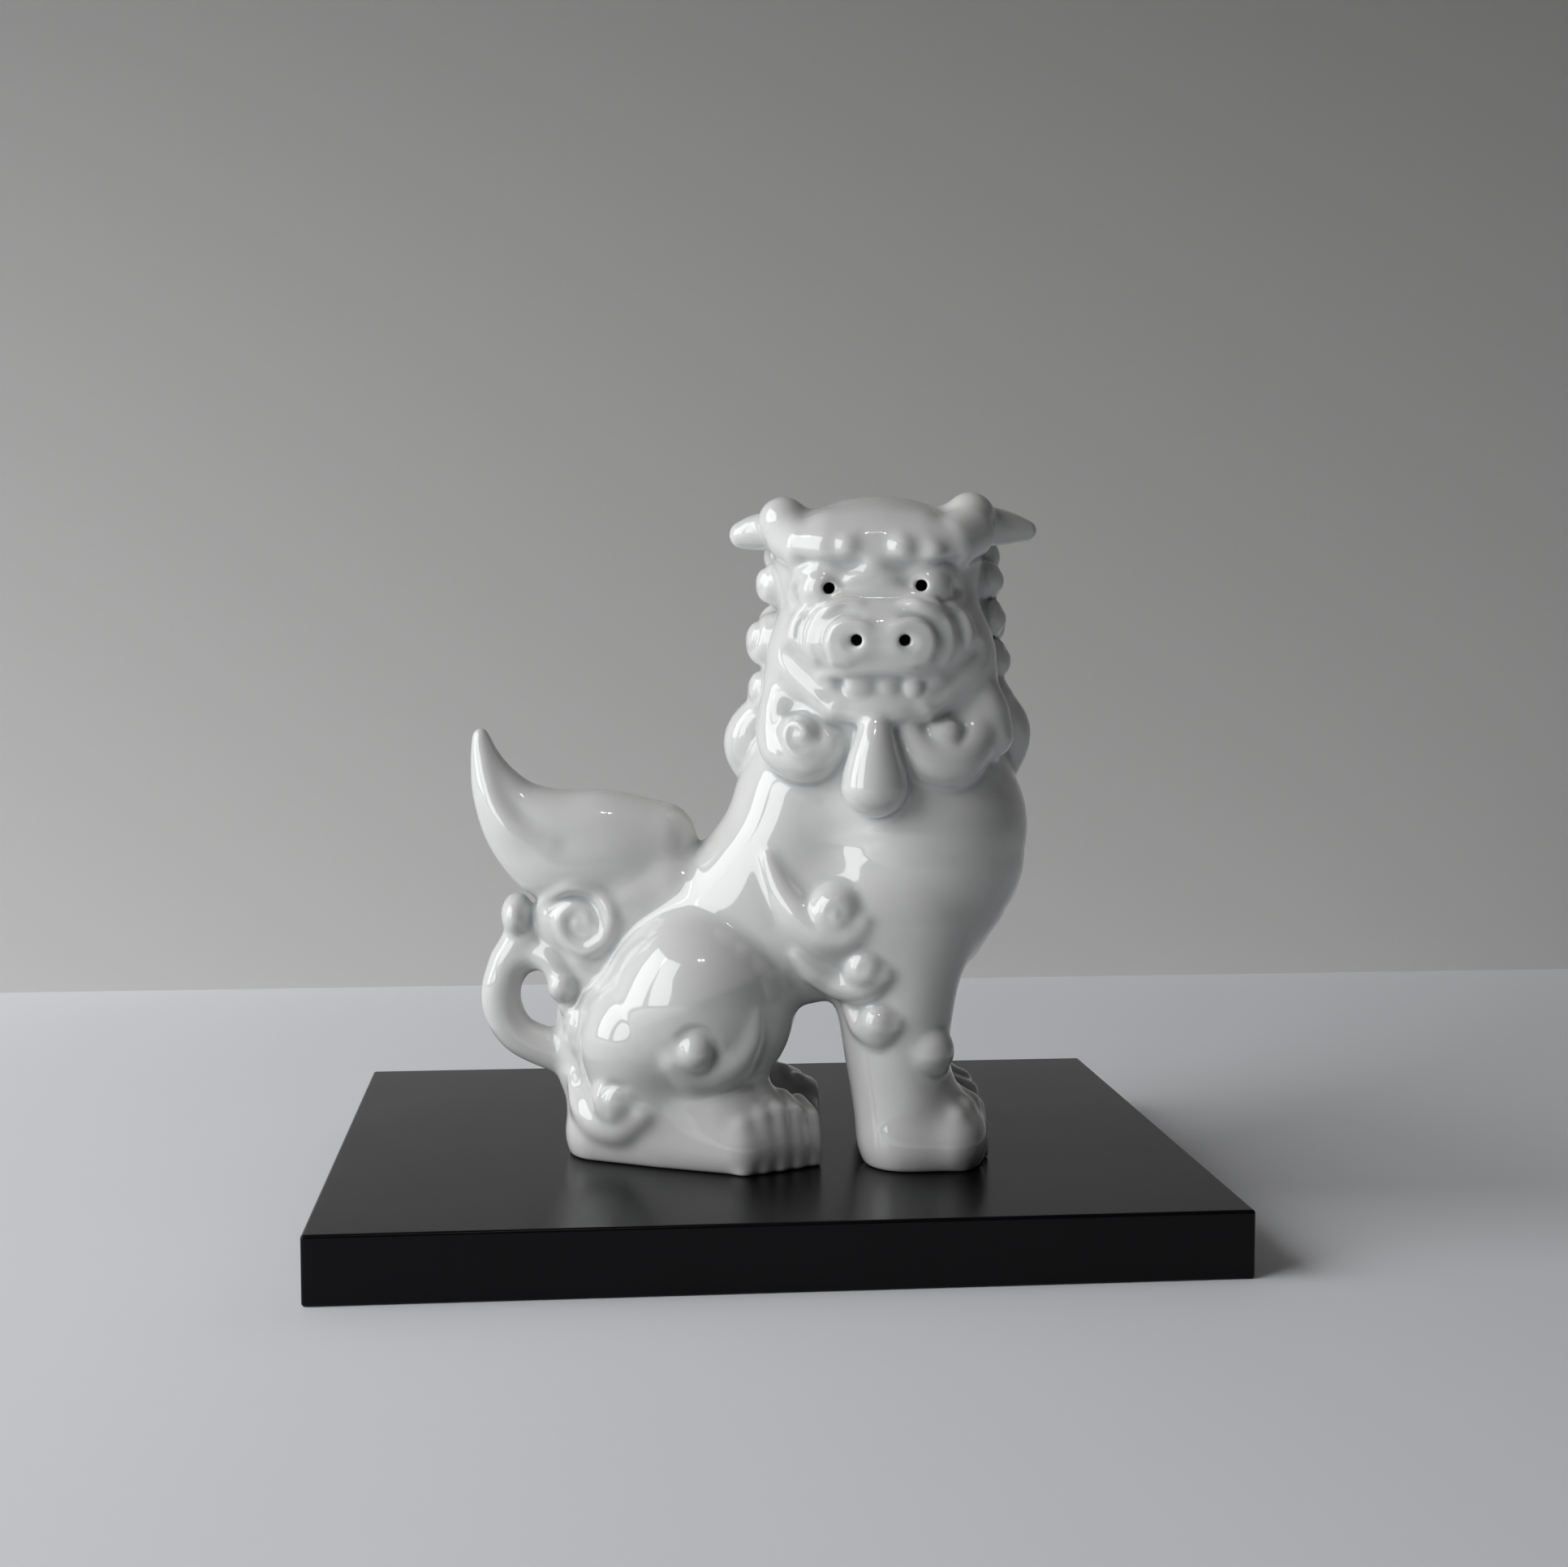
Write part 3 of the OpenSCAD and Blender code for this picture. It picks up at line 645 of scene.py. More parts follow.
def model_mane(clay):
    """Curls in rows down each cheek and the back, with a broad lock on each shoulder."""
    clay.add(egg(head(0, 9, 124), (23.0, 20.5, 19.0)), "mane_curls_back", 4)
    clay.add(egg(head(0, 10, 104), (22.5, 20.0, 20.0)), "mane_curls_back", 4)
    right = [(-24.2, 0, 133.4, 5.4), (-25.2, 1, 120.0, 6.8), (-24.6, -1, 108.4, 6.8)]
    left = [(23.6, 0, 134.4, 5.0), (24.0, 0, 125.4, 5.2), (24.6, 1, 115.8, 5.8),
            (24.6, 0, 107.0, 6.0)]
    for owner, row, m in (("mane_curls_right", right, -1), ("mane_curls_left", left, 1)):
        for s, d, z, r in row:
            snail(clay, owner, head(s, d, z), r, head_way(m, -0.35, 0.1),
                  hand=m, start=90 + 180 * (m < 0), turns=1.2, blend=1.8)
    lobes = {
        "mane_curls_right": (
            [(-22, -10, 110.5, 4.8), (-22.5, -14, 104, 5.2), (-21, -16, 99, 4.6)],
            [(-25.5, 1, 105, 5.0), (-30.2, 3, 97.5, 6.8), (-30.2, 4, 91, 5.0),
             (-26.6, 4, 84.5, 2.0)]),
        "mane_curls_left": (
            [(21.5, -12, 111, 4.4), (23.6, -13, 104.5, 5.6), (25.0, -12.6, 99.0, 5.4)],
            [(26, 0, 106, 5.0), (29.0, 3, 99.5, 6.2), (28.8, 4, 92.5, 4.6), (27, 4, 86.5, 1.8)]),
    }
    for owner, rows in lobes.items():
        for row in rows:
            clay.add(head_lock(row), owner, 2.2)
    back = [(-20, 15, 131, 7.2), (-7.5, 23.0, 135, 7.4), (-21.5, 15, 116, 7.6),
            (-8.0, 25.5, 120, 7.8), (-21.0, 16.5, 101, 7.8), (-8.0, 26.0, 104.5, 8.0),
            (-14, 21.0, 90, 7.6), (-12.5, 15, 144.0, 6.6)]
    for m in (-1, 1):
        for i, (s, d, z, r) in enumerate(back):
            way = head_way(m * s / 14, d / 14, 0.0 if z < 140 else 1.0)
            snail(clay, "mane_curls_back", head(m * s, d, z), r, way,
                  hand=m * (1 if i % 2 else -1), start=60 * i, turns=1.3, blend=2.4)
    fill = [(0, 26.5, 127.5, 5), (0, 28.0, 112, 5), (0, 27, 96, 5.5), (-23, 7, 140, 5),
            (-24.0, 7, 124, 5.4), (-24.4, 8, 108.5, 5.6), (-22.5, 9.5, 94, 5.6)]
    for s, d, z, r in fill:
        for m in ((-1, 1) if s else (1,)):
            clay.add(ball(head(m * s, d, z), r), "mane_curls_back", 2.4)


def model_throat(clay):
    right = [(-20.2, -12.0, 109.5, 4.4), (-23.6, -12.5, 102.0, 4.8), (-22.0, -16.5, 96.0, 5.4),
             (-16.6, -19.4, 93.8, 5.6), (-12.0, -20.0, 96.6, 5.0)]
    left = [(6.4, -20.4, 104.6, 3.2), (6.8, -21.6, 98.6, 4.0), (10.8, -21.6, 93.6, 5.4),
            (17.0, -19.2, 93.8, 6.0), (21.2, -15.6, 99.6, 5.2), (20.6, -13.5, 106, 4.4)]
    clay.add(head_lock(right), "throat_curl_right", 2.0)
    clay.add(head_lock(left), "throat_curl_left", 2.0)
    clay.add(ball(head(-16.8, -18.2, 99.0), 6.8), "throat_curl_right", 2.0)
    clay.add(ball(head(14.0, -18.4, 98.0), 6.4), "throat_curl_left", 2.0)
    coil = [(-15.2, 95.2), (-18.6, 95.0), (-21.0, 97.6), (-20.8, 101.0), (-18.4, 102.0),
            (-16.6, 100.2), (-17.6, 98.6)]
    ridge(clay, FACE, coil, 1.0, 0.8, "throat_curl_right", 0.8)
    groove(clay, FACE, [(-13.4, 98.4), (-14.0, 102.4), (-17.4, 105.0), (-21.4, 104.4)],
           1.1, 0.7, 1.3)
    groove(clay, FACE, [(12.6, 103.0), (16.6, 103.8), (19.2, 101.2), (18.2, 98.4)],
           1.1, 0.45, 1.6)
    beard = [(-1.0, -22.6, 104.4, 3.3), (-1.1, -24.8, 100.0, 4.1), (-1.3, -26.0, 94.0, 5.9),
             (-1.2, -25.8, 88.6, 7.6)]
    clay.add(head_lock(beard), "beard_lock", 1.8)


def pierce(clay):
    """Bores the pupils and nostrils deep into the head, and the vent under the rump."""
    clay.cut(chain([(-26, 0, -6), (-26, 0, 8)], VENT_BORE), 0.8)
    for s, z in ((-11.6, 132.2), (9.0, 132.8)):
        clay.cut(chain([head(s, -40, z), head(s, -4, z)], PUPIL_BORE), 0.9)
    for m in (-1, 1):
        clay.cut(chain([head(m * 6.1, -50, 119.6), head(m * 5.4, -30, 120.6),
                        head(m * 4.4, -10, 122)], NOSTRIL_BORE), 0.9)


def stand_flat(clay):
    """Flattens every foot where the lion stands, with a rounded edge."""
    low = slice(0, int(np.searchsorted(clay.axes[2], 4.0)))
    rise = (clay.axes[2] - FOOT_LEVEL)[None, None, low]
    old, new = clay.field[:, :, low], -rise
    soft = np.maximum(FOOT_EDGE - np.abs(old - new), 0) / FOOT_EDGE
    clay.field[:, :, low] = np.maximum(old, new) + soft ** 3 * (FOOT_EDGE / 6)


# ---- From clay to pieces ----

def skinned(clay):
    """The clay's surface: points, faces, outward directions and how hollow each point is."""
    volume = openvdb.FloatGrid(background=SKIN)
    volume.copyFromArray(np.clip(clay.field, -SKIN, SKIN), tolerance=0.0)
    points, _, faces = volume.convertToPolygons(isovalue=0.0, adaptivity=0.0)
    points = clay.low + points.astype(float) * clay.step
    for _ in range(2):
        points -= clay.slope(points, clay.step) * clay.sample(points)[:, None]
    reach = 1.5
    around = -6 * clay.sample(points)
    for offset in np.vstack([np.eye(3), -np.eye(3)]) * reach:
        around += clay.sample(points + offset)
    return points, faces.astype(np.int64), clay.slope(points), around / reach ** 2


def rim_of(faces):
    """The open edges of some faces, each in its face's own direction."""
    edges = np.concatenate([np.stack([faces[:, i], faces[:, (i + 1) % 4]], 1) for i in range(4)])
    count = faces.max() + 1
    there = edges[:, 0] * count + edges[:, 1]
    back = edges[:, 1] * count + edges[:, 0]
    return edges[~np.isin(there, back)]


def in_scene(name, data):
    thing = bpy.data.objects.new(name, data)
    bpy.context.scene.collection.objects.link(thing)
    return thing


def closed_piece(name, points, faces, out, relief, wall):
    """A thin-walled casting: some of the skin's faces, the same faces inside, and the rim."""
    used, faces = np.unique(faces, return_inverse=True)
    faces = faces.reshape(-1, 4)
    points, out, relief = points[used], out[used], relief[used]
    count = len(points)
    rim = rim_of(faces)
    sides = np.stack([rim[:, 1], rim[:, 0], rim[:, 0] + count, rim[:, 1] + count], 1)
    faces = np.concatenate([faces, faces[:, ::-1] + count, sides])
    points = np.vstack([points, points - out * wall])
    out = np.vstack([out, -out])
    relief = np.tile(relief, 2)
    mesh = bpy.data.meshes.new(name)
    mesh.vertices.add(len(points))
    mesh.vertices.foreach_set("co", np.ascontiguousarray(points, np.float32).ravel())
    mesh.loops.add(faces.size)
    mesh.loops.foreach_set("vertex_index", faces.astype(np.int32).ravel())
    mesh.polygons.add(len(faces))
    mesh.polygons.foreach_set("loop_start", np.arange(0, faces.size, 4, dtype=np.int32))
    mesh.update(calc_edges=True)
    mesh.attributes.new("relief", "FLOAT", "POINT").data.foreach_set(
        "value", relief.astype(np.float32))
    mesh.shade_smooth()
    mesh.normals_split_custom_set_from_vertices(out.astype(np.float32).tolist())
    return in_scene(name, mesh)


def in_row(points, out, turn, forward):
    """Points and directions in lion axes, in metres in the row frame."""
    c, n = math.cos(-turn), math.sin(-turn)
    spin = np.array([[c, -n, 0], [n, c, 0], [0, 0, 1]])
    shift = np.array([0, -forward, BOARD_TOP])
    return points @ spin.T * LION_SCALE + shift, out @ spin.T


# ---- Materials ----

def node_of(tree, kind, at=(0, 0), sockets=None, **settings):
    """A node at this spot in its tree, with these settings and values on its inputs."""
    node = tree.nodes.new(kind)
    node.location = at
    for name, value in settings.items():
        setattr(node, name, value)
    for name, value in (sockets or {}).items():
        node.inputs[name].default_value = value
    return node


def wire(tree, *pairs):
    """Joins each output to the input that it is paired with."""
    for source, target in pairs:
        tree.links.new(source, target)


def new_material(name, sockets):
    """A material whose Principled shader has these values, with its tree and that shader."""
    material = bpy.data.materials.new(name)
    material.use_nodes = True
    shader = material.node_tree.nodes["Principled BSDF"]
    for socket, value in sockets.items():
        shader.inputs[socket].default_value = value
    return material, material.node_tree, shader


def glaze_group():
    """Colour, roughness and bump of a clear glaze that pools in hollows and thins on crests."""
    tree = bpy.data.node_groups.new("Pooling glaze", "ShaderNodeTree")
    for way, name, kind in (
            ("INPUT", "Relief", "Float"), ("INPUT", "Body", "Color"), ("INPUT", "Pool", "Color"),
            ("INPUT", "Crest", "Color"), ("OUTPUT", "Colour", "Color"),
            ("OUTPUT", "Roughness", "Float"), ("OUTPUT", "Normal", "Vector")):
        tree.interface.new_socket(name, in_out=way, socket_type="NodeSocket" + kind)
    enter = node_of(tree, "NodeGroupInput", (-900, 0)).outputs
    leave = node_of(tree, "NodeGroupOutput", (700, 0)).inputs
    place = node_of(tree, "ShaderNodeTexCoord", (-900, -300)).outputs["Object"]
    pool = node_of(tree, "ShaderNodeMapRange", (-600, 200), {"From Min": -0.05, "From Max": -0.75})
    crest = node_of(tree, "ShaderNodeMapRange", (-600, -60), {"From Min": 0.25, "From Max": 1.1})
    cloud = node_of(tree, "ShaderNodeTexNoise", (-600, -320), {"Scale": 60, "Detail": 3})
    waves = node_of(tree, "ShaderNodeTexNoise", (-600, -560), {"Scale": 240, "Detail": 1})
    pooled = node_of(tree, "ShaderNodeMix", (-200, 200), data_type="RGBA")
    thinned = node_of(tree, "ShaderNodeMix", (40, 120), data_type="RGBA")
    clouded = node_of(tree, "ShaderNodeMix", (280, 60), {"Factor": 1.0}, data_type="RGBA",
                      blend_type="MULTIPLY")
    veil = node_of(tree, "ShaderNodeMapRange", (40, -260), {"To Min": 0.955, "To Max": 1.0})
    rough = node_of(tree, "ShaderNodeMapRange", (280, -260), {"To Min": 0.06, "To Max": 0.10})
    bump = node_of(tree, "ShaderNodeBump", (280, -520), {"Strength": 0.05, "Distance": 0.0004})
    wire(tree,
         (enter["Relief"], pool.inputs["Value"]),
         (enter["Relief"], crest.inputs["Value"]),
         (place, cloud.inputs["Vector"]),
         (place, waves.inputs["Vector"]),
         (pool.outputs["Result"], pooled.inputs["Factor"]),
         (enter["Body"], pooled.inputs["A"]),
         (enter["Pool"], pooled.inputs["B"]),
         (crest.outputs["Result"], thinned.inputs["Factor"]),
         (pooled.outputs["Result"], thinned.inputs["A"]),
         (enter["Crest"], thinned.inputs["B"]),
         (cloud.outputs["Fac"], veil.inputs["Value"]),
         (thinned.outputs["Result"], clouded.inputs["A"]),
         (veil.outputs["Result"], clouded.inputs["B"]),
         (cloud.outputs["Fac"], rough.inputs["Value"]),
         (waves.outputs["Fac"], bump.inputs["Height"]),
         (clouded.outputs["Result"], leave["Colour"]),
         (rough.outputs["Result"], leave["Roughness"]),
         (bump.outputs["Normal"], leave["Normal"]))
    return tree


def porcelain_material(group, colours):
    material, tree, shader = new_material(
        "Glazed porcelain", {"IOR": 1.5, "Coat Weight": 0.5, "Coat Roughness": 0.03})
    relief = node_of(tree, "ShaderNodeAttribute", (-700, 0), attribute_name="relief")
    glaze = node_of(tree, "ShaderNodeGroup", (-400, 0), node_tree=group)
    for name, colour in (("Body", colours.glaze), ("Pool", colours.pool),
                         ("Crest", colours.crest)):
        glaze.inputs[name].default_value = colour
    wire(tree,
         (relief.outputs["Fac"], glaze.inputs["Relief"]),
         (glaze.outputs["Colour"], shader.inputs["Base Color"]),
         (glaze.outputs["Roughness"], shader.inputs["Roughness"]),
         (glaze.outputs["Normal"], shader.inputs["Normal"]))
    return material


def lacquer_material(colour):
    """A black lacquer with a faint haze and a fine skin like orange peel."""
    material, tree, shader = new_material(
        "Black satin lacquer", {"IOR": 1.5, "Specular IOR Level": 0.15})
    place = node_of(tree, "ShaderNodeTexCoord", (-1100, 0)).outputs["Object"]
    peel = node_of(tree, "ShaderNodeTexNoise", (-800, -200), {"Scale": 900, "Detail": 2})
    haze = node_of(tree, "ShaderNodeTexNoise", (-800, 150), {"Scale": 28, "Detail": 5})
    dark, light = ([part * share for part in colour[:3]] + [1] for share in (0.75, 1.35))
    tone = node_of(tree, "ShaderNodeMix", (-400, 250), data_type="RGBA")
    tone.inputs["A"].default_value = dark
    tone.inputs["B"].default_value = light
    rough = node_of(tree, "ShaderNodeMapRange", (-400, 0), {"To Min": 0.20, "To Max": 0.27})
    bump = node_of(tree, "ShaderNodeBump", (-400, -250), {"Strength": 0.06, "Distance": 0.0002})
    wire(tree,
         (place, peel.inputs["Vector"]),
         (place, haze.inputs["Vector"]),
         (haze.outputs["Fac"], tone.inputs["Factor"]),
         (haze.outputs["Fac"], rough.inputs["Value"]),
         (peel.outputs["Fac"], bump.inputs["Height"]),
         (tone.outputs["Result"], shader.inputs["Base Color"]),
         (rough.outputs["Result"], shader.inputs["Roughness"]),
         (bump.outputs["Normal"], shader.inputs["Normal"]))
    return material


def table_material():
    return new_material("Pale table", {
        "Base Color": (0.86, 0.87, 0.90, 1), "Roughness": 0.75, "Specular IOR Level": 0.2})[0]


def backdrop_painted_shade():
    """A backdrop paper with painted light and shade: pale near the table and darker above, as the
    light falls off up the wall; clear from behind.
    """
    material, tree, paper = new_material(
        "Backdrop with painted shade", {"Roughness": 0.9, "Specular IOR Level": 0.2})
    place = node_of(tree, "ShaderNodeTexCoord", (-1100, 0)).outputs["Object"]
    height = node_of(tree, "ShaderNodeVectorMath", (-900, 0), operation="DOT_PRODUCT")
    height.inputs[1].default_value = (-0.115, 0, 1.0)
    # Painted shade: the paper's colour darkens upwards in place of the light falling off up the
    # wall
    painted_falloff = node_of(tree, "ShaderNodeMapRange", (-650, 0), {"From Min": -0.15, "From Max": 0.55})
    tone = node_of(tree, "ShaderNodeMix", (-400, 0), data_type="RGBA")
    # Lit and shaded tones of the same paper, the two ends of the painted falloff
    tone.inputs["A"].default_value = (0.80, 0.793, 0.777, 1)
    tone.inputs["B"].default_value = (0.18, 0.177, 0.173, 1)
    grain = node_of(tree, "ShaderNodeTexNoise", (-900, -300), {"Scale": 350})
    bump = node_of(tree, "ShaderNodeBump", (-400, -300), {"Strength": 0.1, "Distance": 0.0005})
    side = node_of(tree, "ShaderNodeNewGeometry", (0, 300))
    clear = node_of(tree, "ShaderNodeBsdfTransparent", (0, -300))
    choice = node_of(tree, "ShaderNodeMixShader", (300, 0))
    wire(tree,
         (place, height.inputs[0]),
         (height.outputs["Value"], painted_falloff.inputs["Value"]),
         (painted_falloff.outputs["Result"], tone.inputs["Factor"]),
         (place, grain.inputs["Vector"]),
         (grain.outputs["Fac"], bump.inputs["Height"]),
         (tone.outputs["Result"], paper.inputs["Base Color"]),
         (bump.outputs["Normal"], paper.inputs["Normal"]),
         (side.outputs["Backfacing"], choice.inputs["Fac"]),
         (paper.outputs["BSDF"], choice.inputs[1]),
         (clear.outputs["BSDF"], choice.inputs[2]),
         (choice.outputs["Shader"], tree.nodes["Material Output"].inputs["Surface"]))
    return material


# ---- The board: a rounded box whose outer rings of points are drawn into its edges ----

# Points along each edge of the block, which is 2 wide, and where its flat spans end
BLOCK_POINTS = 11
FLAT_SPAN = 0.2


def calculate(tree, operation, *values):
    """A vector sum on sockets or plain numbers."""
    node = node_of(tree, "ShaderNodeVectorMath", operation=operation)
    for socket, value in zip(node.inputs, values):
        if isinstance(value, tuple):
            socket.default_value = value
        else:
            wire(tree, (value, socket))
    return node.outputs["Vector"]


def spread(tree, value, start, end, reach):
    """Maps each of a vector's numbers from start..end to nothing..reach."""
    node = node_of(tree, "ShaderNodeMapRange", data_type="FLOAT_VECTOR")
    from_min, from_max, to_min, to_max = node.inputs[7:11]
    from_min.default_value = (start,) * 3
    from_max.default_value = (end,) * 3
    to_min.default_value = (0, 0, 0)
    wire(tree, (value, node.inputs["Vector"]), (reach, to_max))
    return node.outputs["Vector"]


def slab_tree():
    """A box with rounded edges: flat spans between the inner points, quarter rounds outside."""
    tree = bpy.data.node_groups.new("Eased slab", "GeometryNodeTree")
    face = tree.interface
    for name, kind in (("Size", "Vector"), ("Middle", "Vector"), ("Edge", "Float")):
        socket = face.new_socket(name, in_out="INPUT", socket_type="NodeSocket" + kind)
        socket.subtype = "TRANSLATION" if kind == "Vector" else "DISTANCE"
    face.new_socket("Finish", in_out="INPUT", socket_type="NodeSocketMaterial")
    face.new_socket("Slab", in_out="OUTPUT", socket_type="NodeSocketGeometry")
    enter = node_of(tree, "NodeGroupInput", (-1400, 0)).outputs
    leave = node_of(tree, "NodeGroupOutput", (1200, 0))
    block = node_of(tree, "GeometryNodeMeshCube", (-1100, 300), {"Size": (2, 2, 2)})
    place = node_of(tree, "GeometryNodeInputPosition", (-1100, -100)).outputs["Position"]
    edge = node_of(tree, "ShaderNodeCombineXYZ", (-1100, -300))
    for axis in "XYZ":
        block.inputs["Vertices " + axis].default_value = BLOCK_POINTS
        wire(tree, (enter["Edge"], edge.inputs[axis]))
    edge = edge.outputs["Vector"]
    distance = calculate(tree, "ABSOLUTE", place)
    side = calculate(tree, "SIGN", place)
    half = calculate(tree, "MULTIPLY", enter["Size"], (0.5, 0.5, 0.5))
    flat = calculate(tree, "SUBTRACT", half, edge)
    inner = calculate(tree, "MULTIPLY", side, spread(tree, distance, 0.0, FLAT_SPAN, flat))
    outer = calculate(tree, "MULTIPLY", side, spread(tree, distance, FLAT_SPAN, 1.0, edge))
    round_off = calculate(tree, "MULTIPLY", calculate(tree, "NORMALIZE", outer), edge)
    spot = calculate(tree, "ADD", calculate(tree, "ADD", inner, round_off), enter["Middle"])
    move = node_of(tree, "GeometryNodeSetPosition", (500, 0))
    real = node_of(tree, "GeometryNodeRealizeInstances", (700, 0))
    coat = node_of(tree, "GeometryNodeSetMaterial", (950, 0))
    wire(tree,
         (block.outputs["Mesh"], move.inputs["Geometry"]),
         (spot, move.inputs["Position"]),
         (move.outputs["Geometry"], real.inputs["Geometry"]),
         (real.outputs["Geometry"], coat.inputs["Geometry"]),
         (enter["Finish"], coat.inputs["Material"]),
         (coat.outputs["Geometry"], leave.inputs["Slab"]))
    return tree


def plain_from_nodes(name, tree, values):
    """A plain mesh object made by a tree of nodes with these named values."""
    piece = in_scene(name, bpy.data.meshes.new(name))
    modifier = piece.modifiers.new("Shape", "NODES")
    modifier.node_group = tree
    for item in tree.interface.items_tree:
        if item.item_type == "SOCKET" and item.in_out == "INPUT":
            modifier[item.identifier] = values[item.name]
    graph = bpy.context.evaluated_depsgraph_get()
    solid = bpy.data.meshes.new_from_object(piece.evaluated_get(graph))
    piece.modifiers.clear()
    piece.data = solid
    solid.name = name
    return piece


def smooth_edges(mesh, low, high, edge):
    """Points each corner's shading along the true rounded surface."""
    at = np.empty(len(mesh.vertices) * 3, np.float32)
    mesh.vertices.foreach_get("co", at)
    at = at.reshape(-1, 3)
    out = at - np.clip(at, np.array(low) + edge, np.array(high) - edge)
    out /= np.linalg.norm(out, axis=1, keepdims=True)
    mesh.shade_smooth()
    mesh.normals_split_custom_set_from_vertices(out.tolist())


# ---- The stage ----

def area_light(name, place, aim, size, power, colour):
    lamp = bpy.data.lights.new(name, "AREA")
    lamp.shape = "RECTANGLE"
    lamp.size, lamp.size_y = size
    lamp.energy = power
    lamp.color = colour
    holder = in_scene(name, lamp)
    holder.location = place
    holder.rotation_euler = (Vector(aim) - Vector(place)).to_track_quat("-Z", "Y").to_euler()


def stage_sheet(name, corners, material):
    mesh = bpy.data.meshes.new(name)
    mesh.from_pydata(corners, [], [(0, 1, 2, 3)])
    mesh.materials.append(material)
    in_scene(name, mesh)


def set_world(strength):
    world = bpy.data.worlds.new("Room")
    world.use_nodes = True
    room = world.node_tree.nodes["Background"]
    room.inputs["Color"].default_value = (0.93, 0.96, 1.0, 1)
    room.inputs["Strength"].default_value = strength
    bpy.context.scene.world = world


def set_camera(lens):
    camera = in_scene("Camera", bpy.data.cameras.new("Camera"))
    camera.data.lens = lens
    camera.data.sensor_width = 36
    camera.data.clip_start = 0.01
    turn = (Matrix.Rotation(CAMERA_YAW, 4, "Z") @ Matrix.Rotation(CAMERA_PITCH, 4, "X")
            @ Matrix.Rotation(CAMERA_ROLL, 4, "Y") @ Matrix.Rotation(math.pi / 2, 4, "X"))
    camera.matrix_world = Matrix.Translation(CAMERA_PLACE) @ turn
    bpy.context.scene.camera = camera


# ---- Settings ----

class LionSizes(bpy.types.PropertyGroup):
    """Where the lion sits and how finely its clay is worked."""
    turn: bpy.props.FloatProperty(
        name="Body turn", description="Turn of the body on the board, chest to the front",
        default=math.radians(6.0), subtype="ANGLE", unit="ROTATION")
    forward: bpy.props.FloatProperty(
        name="Forward", description="How far the lion sits in front of the board's centre",
        default=0.015, subtype="DISTANCE", unit="LENGTH")
    grain: bpy.props.FloatProperty(
        name="Grain", description="Spacing of the clay's points, in millimetres",
        default=0.51, min=0.3, max=1.5)
    wall: bpy.props.FloatProperty(
        name="Wall", description="Thickness of the clay behind the skin of a section",
        default=0.0009, subtype="DISTANCE", unit="LENGTH")
    board_edge: bpy.props.FloatProperty(
        name="Board edge", description="Radius of the board's eased edges",
        default=0.0008, subtype="DISTANCE", unit="LENGTH")


class LionFinishes(bpy.types.PropertyGroup):
    """Colours of the glaze and the lacquer."""
    glaze: bpy.props.FloatVectorProperty(
        name="Glaze", description="Colour of the glazed body", subtype="COLOR",
        size=4, default=(0.70, 0.705, 0.69, 1))
    pool: bpy.props.FloatVectorProperty(
        name="Pooled glaze", description="Colour where the glaze gathers in hollows",
        subtype="COLOR", size=4, default=(0.50, 0.53, 0.53, 1))
    crest: bpy.props.FloatVectorProperty(
        name="Thin glaze", description="Colour where the glaze runs thin on crests",
        subtype="COLOR", size=4, default=(0.77, 0.77, 0.75, 1))
    lacquer: bpy.props.FloatVectorProperty(
        name="Lacquer", description="Colour of the board's lacquer", subtype="COLOR",
        size=4, default=(0.0034, 0.0033, 0.0042, 1))


class LionStage(bpy.types.PropertyGroup):
    """The table, the wall and the light."""
    window: bpy.props.FloatProperty(
        name="Window", description="Power of the window's light", default=21.5,
        subtype="POWER", unit="POWER")
    lamp: bpy.props.FloatProperty(
        name="Lamps", description="Power of each small ceiling lamp", default=0.4,
        subtype="POWER", unit="POWER")
    fill: bpy.props.FloatProperty(
        name="Fill", description="Brightness of the room around", default=0.008)
    wall_distance: bpy.props.FloatProperty(
        name="Wall distance", description="From the board's middle back to the wall",
        default=0.307, subtype="DISTANCE", unit="LENGTH")
    lens: bpy.props.FloatProperty(
        name="Lens", description="Focal length of the camera, in millimetres", default=48.45)


# ---- Operators ----

work = {}


class LION_OT_masses(bpy.types.Operator):
    """Lays up the broad masses of the body, legs, haunches, skull, muzzle and tail"""
    bl_idname = "lion.masses"
    bl_label = "Broad masses"

    def execute(self, context):
        grain = context.scene.lion_sizes.grain
        clay = Clay(CLAY_LOW, CLAY_HIGH, grain * 2)
        model_torso(clay)
        for side in (NEAR, FAR):
            model_foreleg(clay, side)
            model_haunch(clay, side)
        model_skull(clay)
        model_muzzle(clay)
        model_tail_mass(clay)
        clay.refine()
        work["clay"] = clay
        return {"FINISHED"}


class LION_OT_paws(bpy.types.Operator):
    """Models the four paws with their toes"""
    bl_idname = "lion.paws"
    bl_label = "Paws"

    def execute(self, context):
        for side in (NEAR, FAR):
            model_paws(work["clay"], side)
        return {"FINISHED"}


class LION_OT_tail(bpy.types.Operator):
    """Models the flame of the tail, its loop, curls, knob and tufts"""
    bl_idname = "lion.tail"
    bl_label = "Tail"

    def execute(self, context):
        model_plume(work["clay"])
        model_tail_locks(work["clay"])
        return {"FINISHED"}


class LION_OT_locks(bpy.types.Operator):
    """Lays the curled locks on the shoulders, forelegs, haunches and heels"""
    bl_idname = "lion.locks"
    bl_label = "Leg and haunch locks"

    def execute(self, context):
        for side in (NEAR, FAR):
            model_leg_locks(work["clay"], side)
            model_haunch_locks(work["clay"], side)
        return {"FINISHED"}


class LION_OT_mane(bpy.types.Operator):
    """Lays the curls of the mane, the two throat curls and the beard"""
    bl_idname = "lion.mane"
    bl_label = "Mane"

    def execute(self, context):
        model_jaw(work["clay"])
        model_mane(work["clay"])
        model_throat(work["clay"])
        return {"FINISHED"}


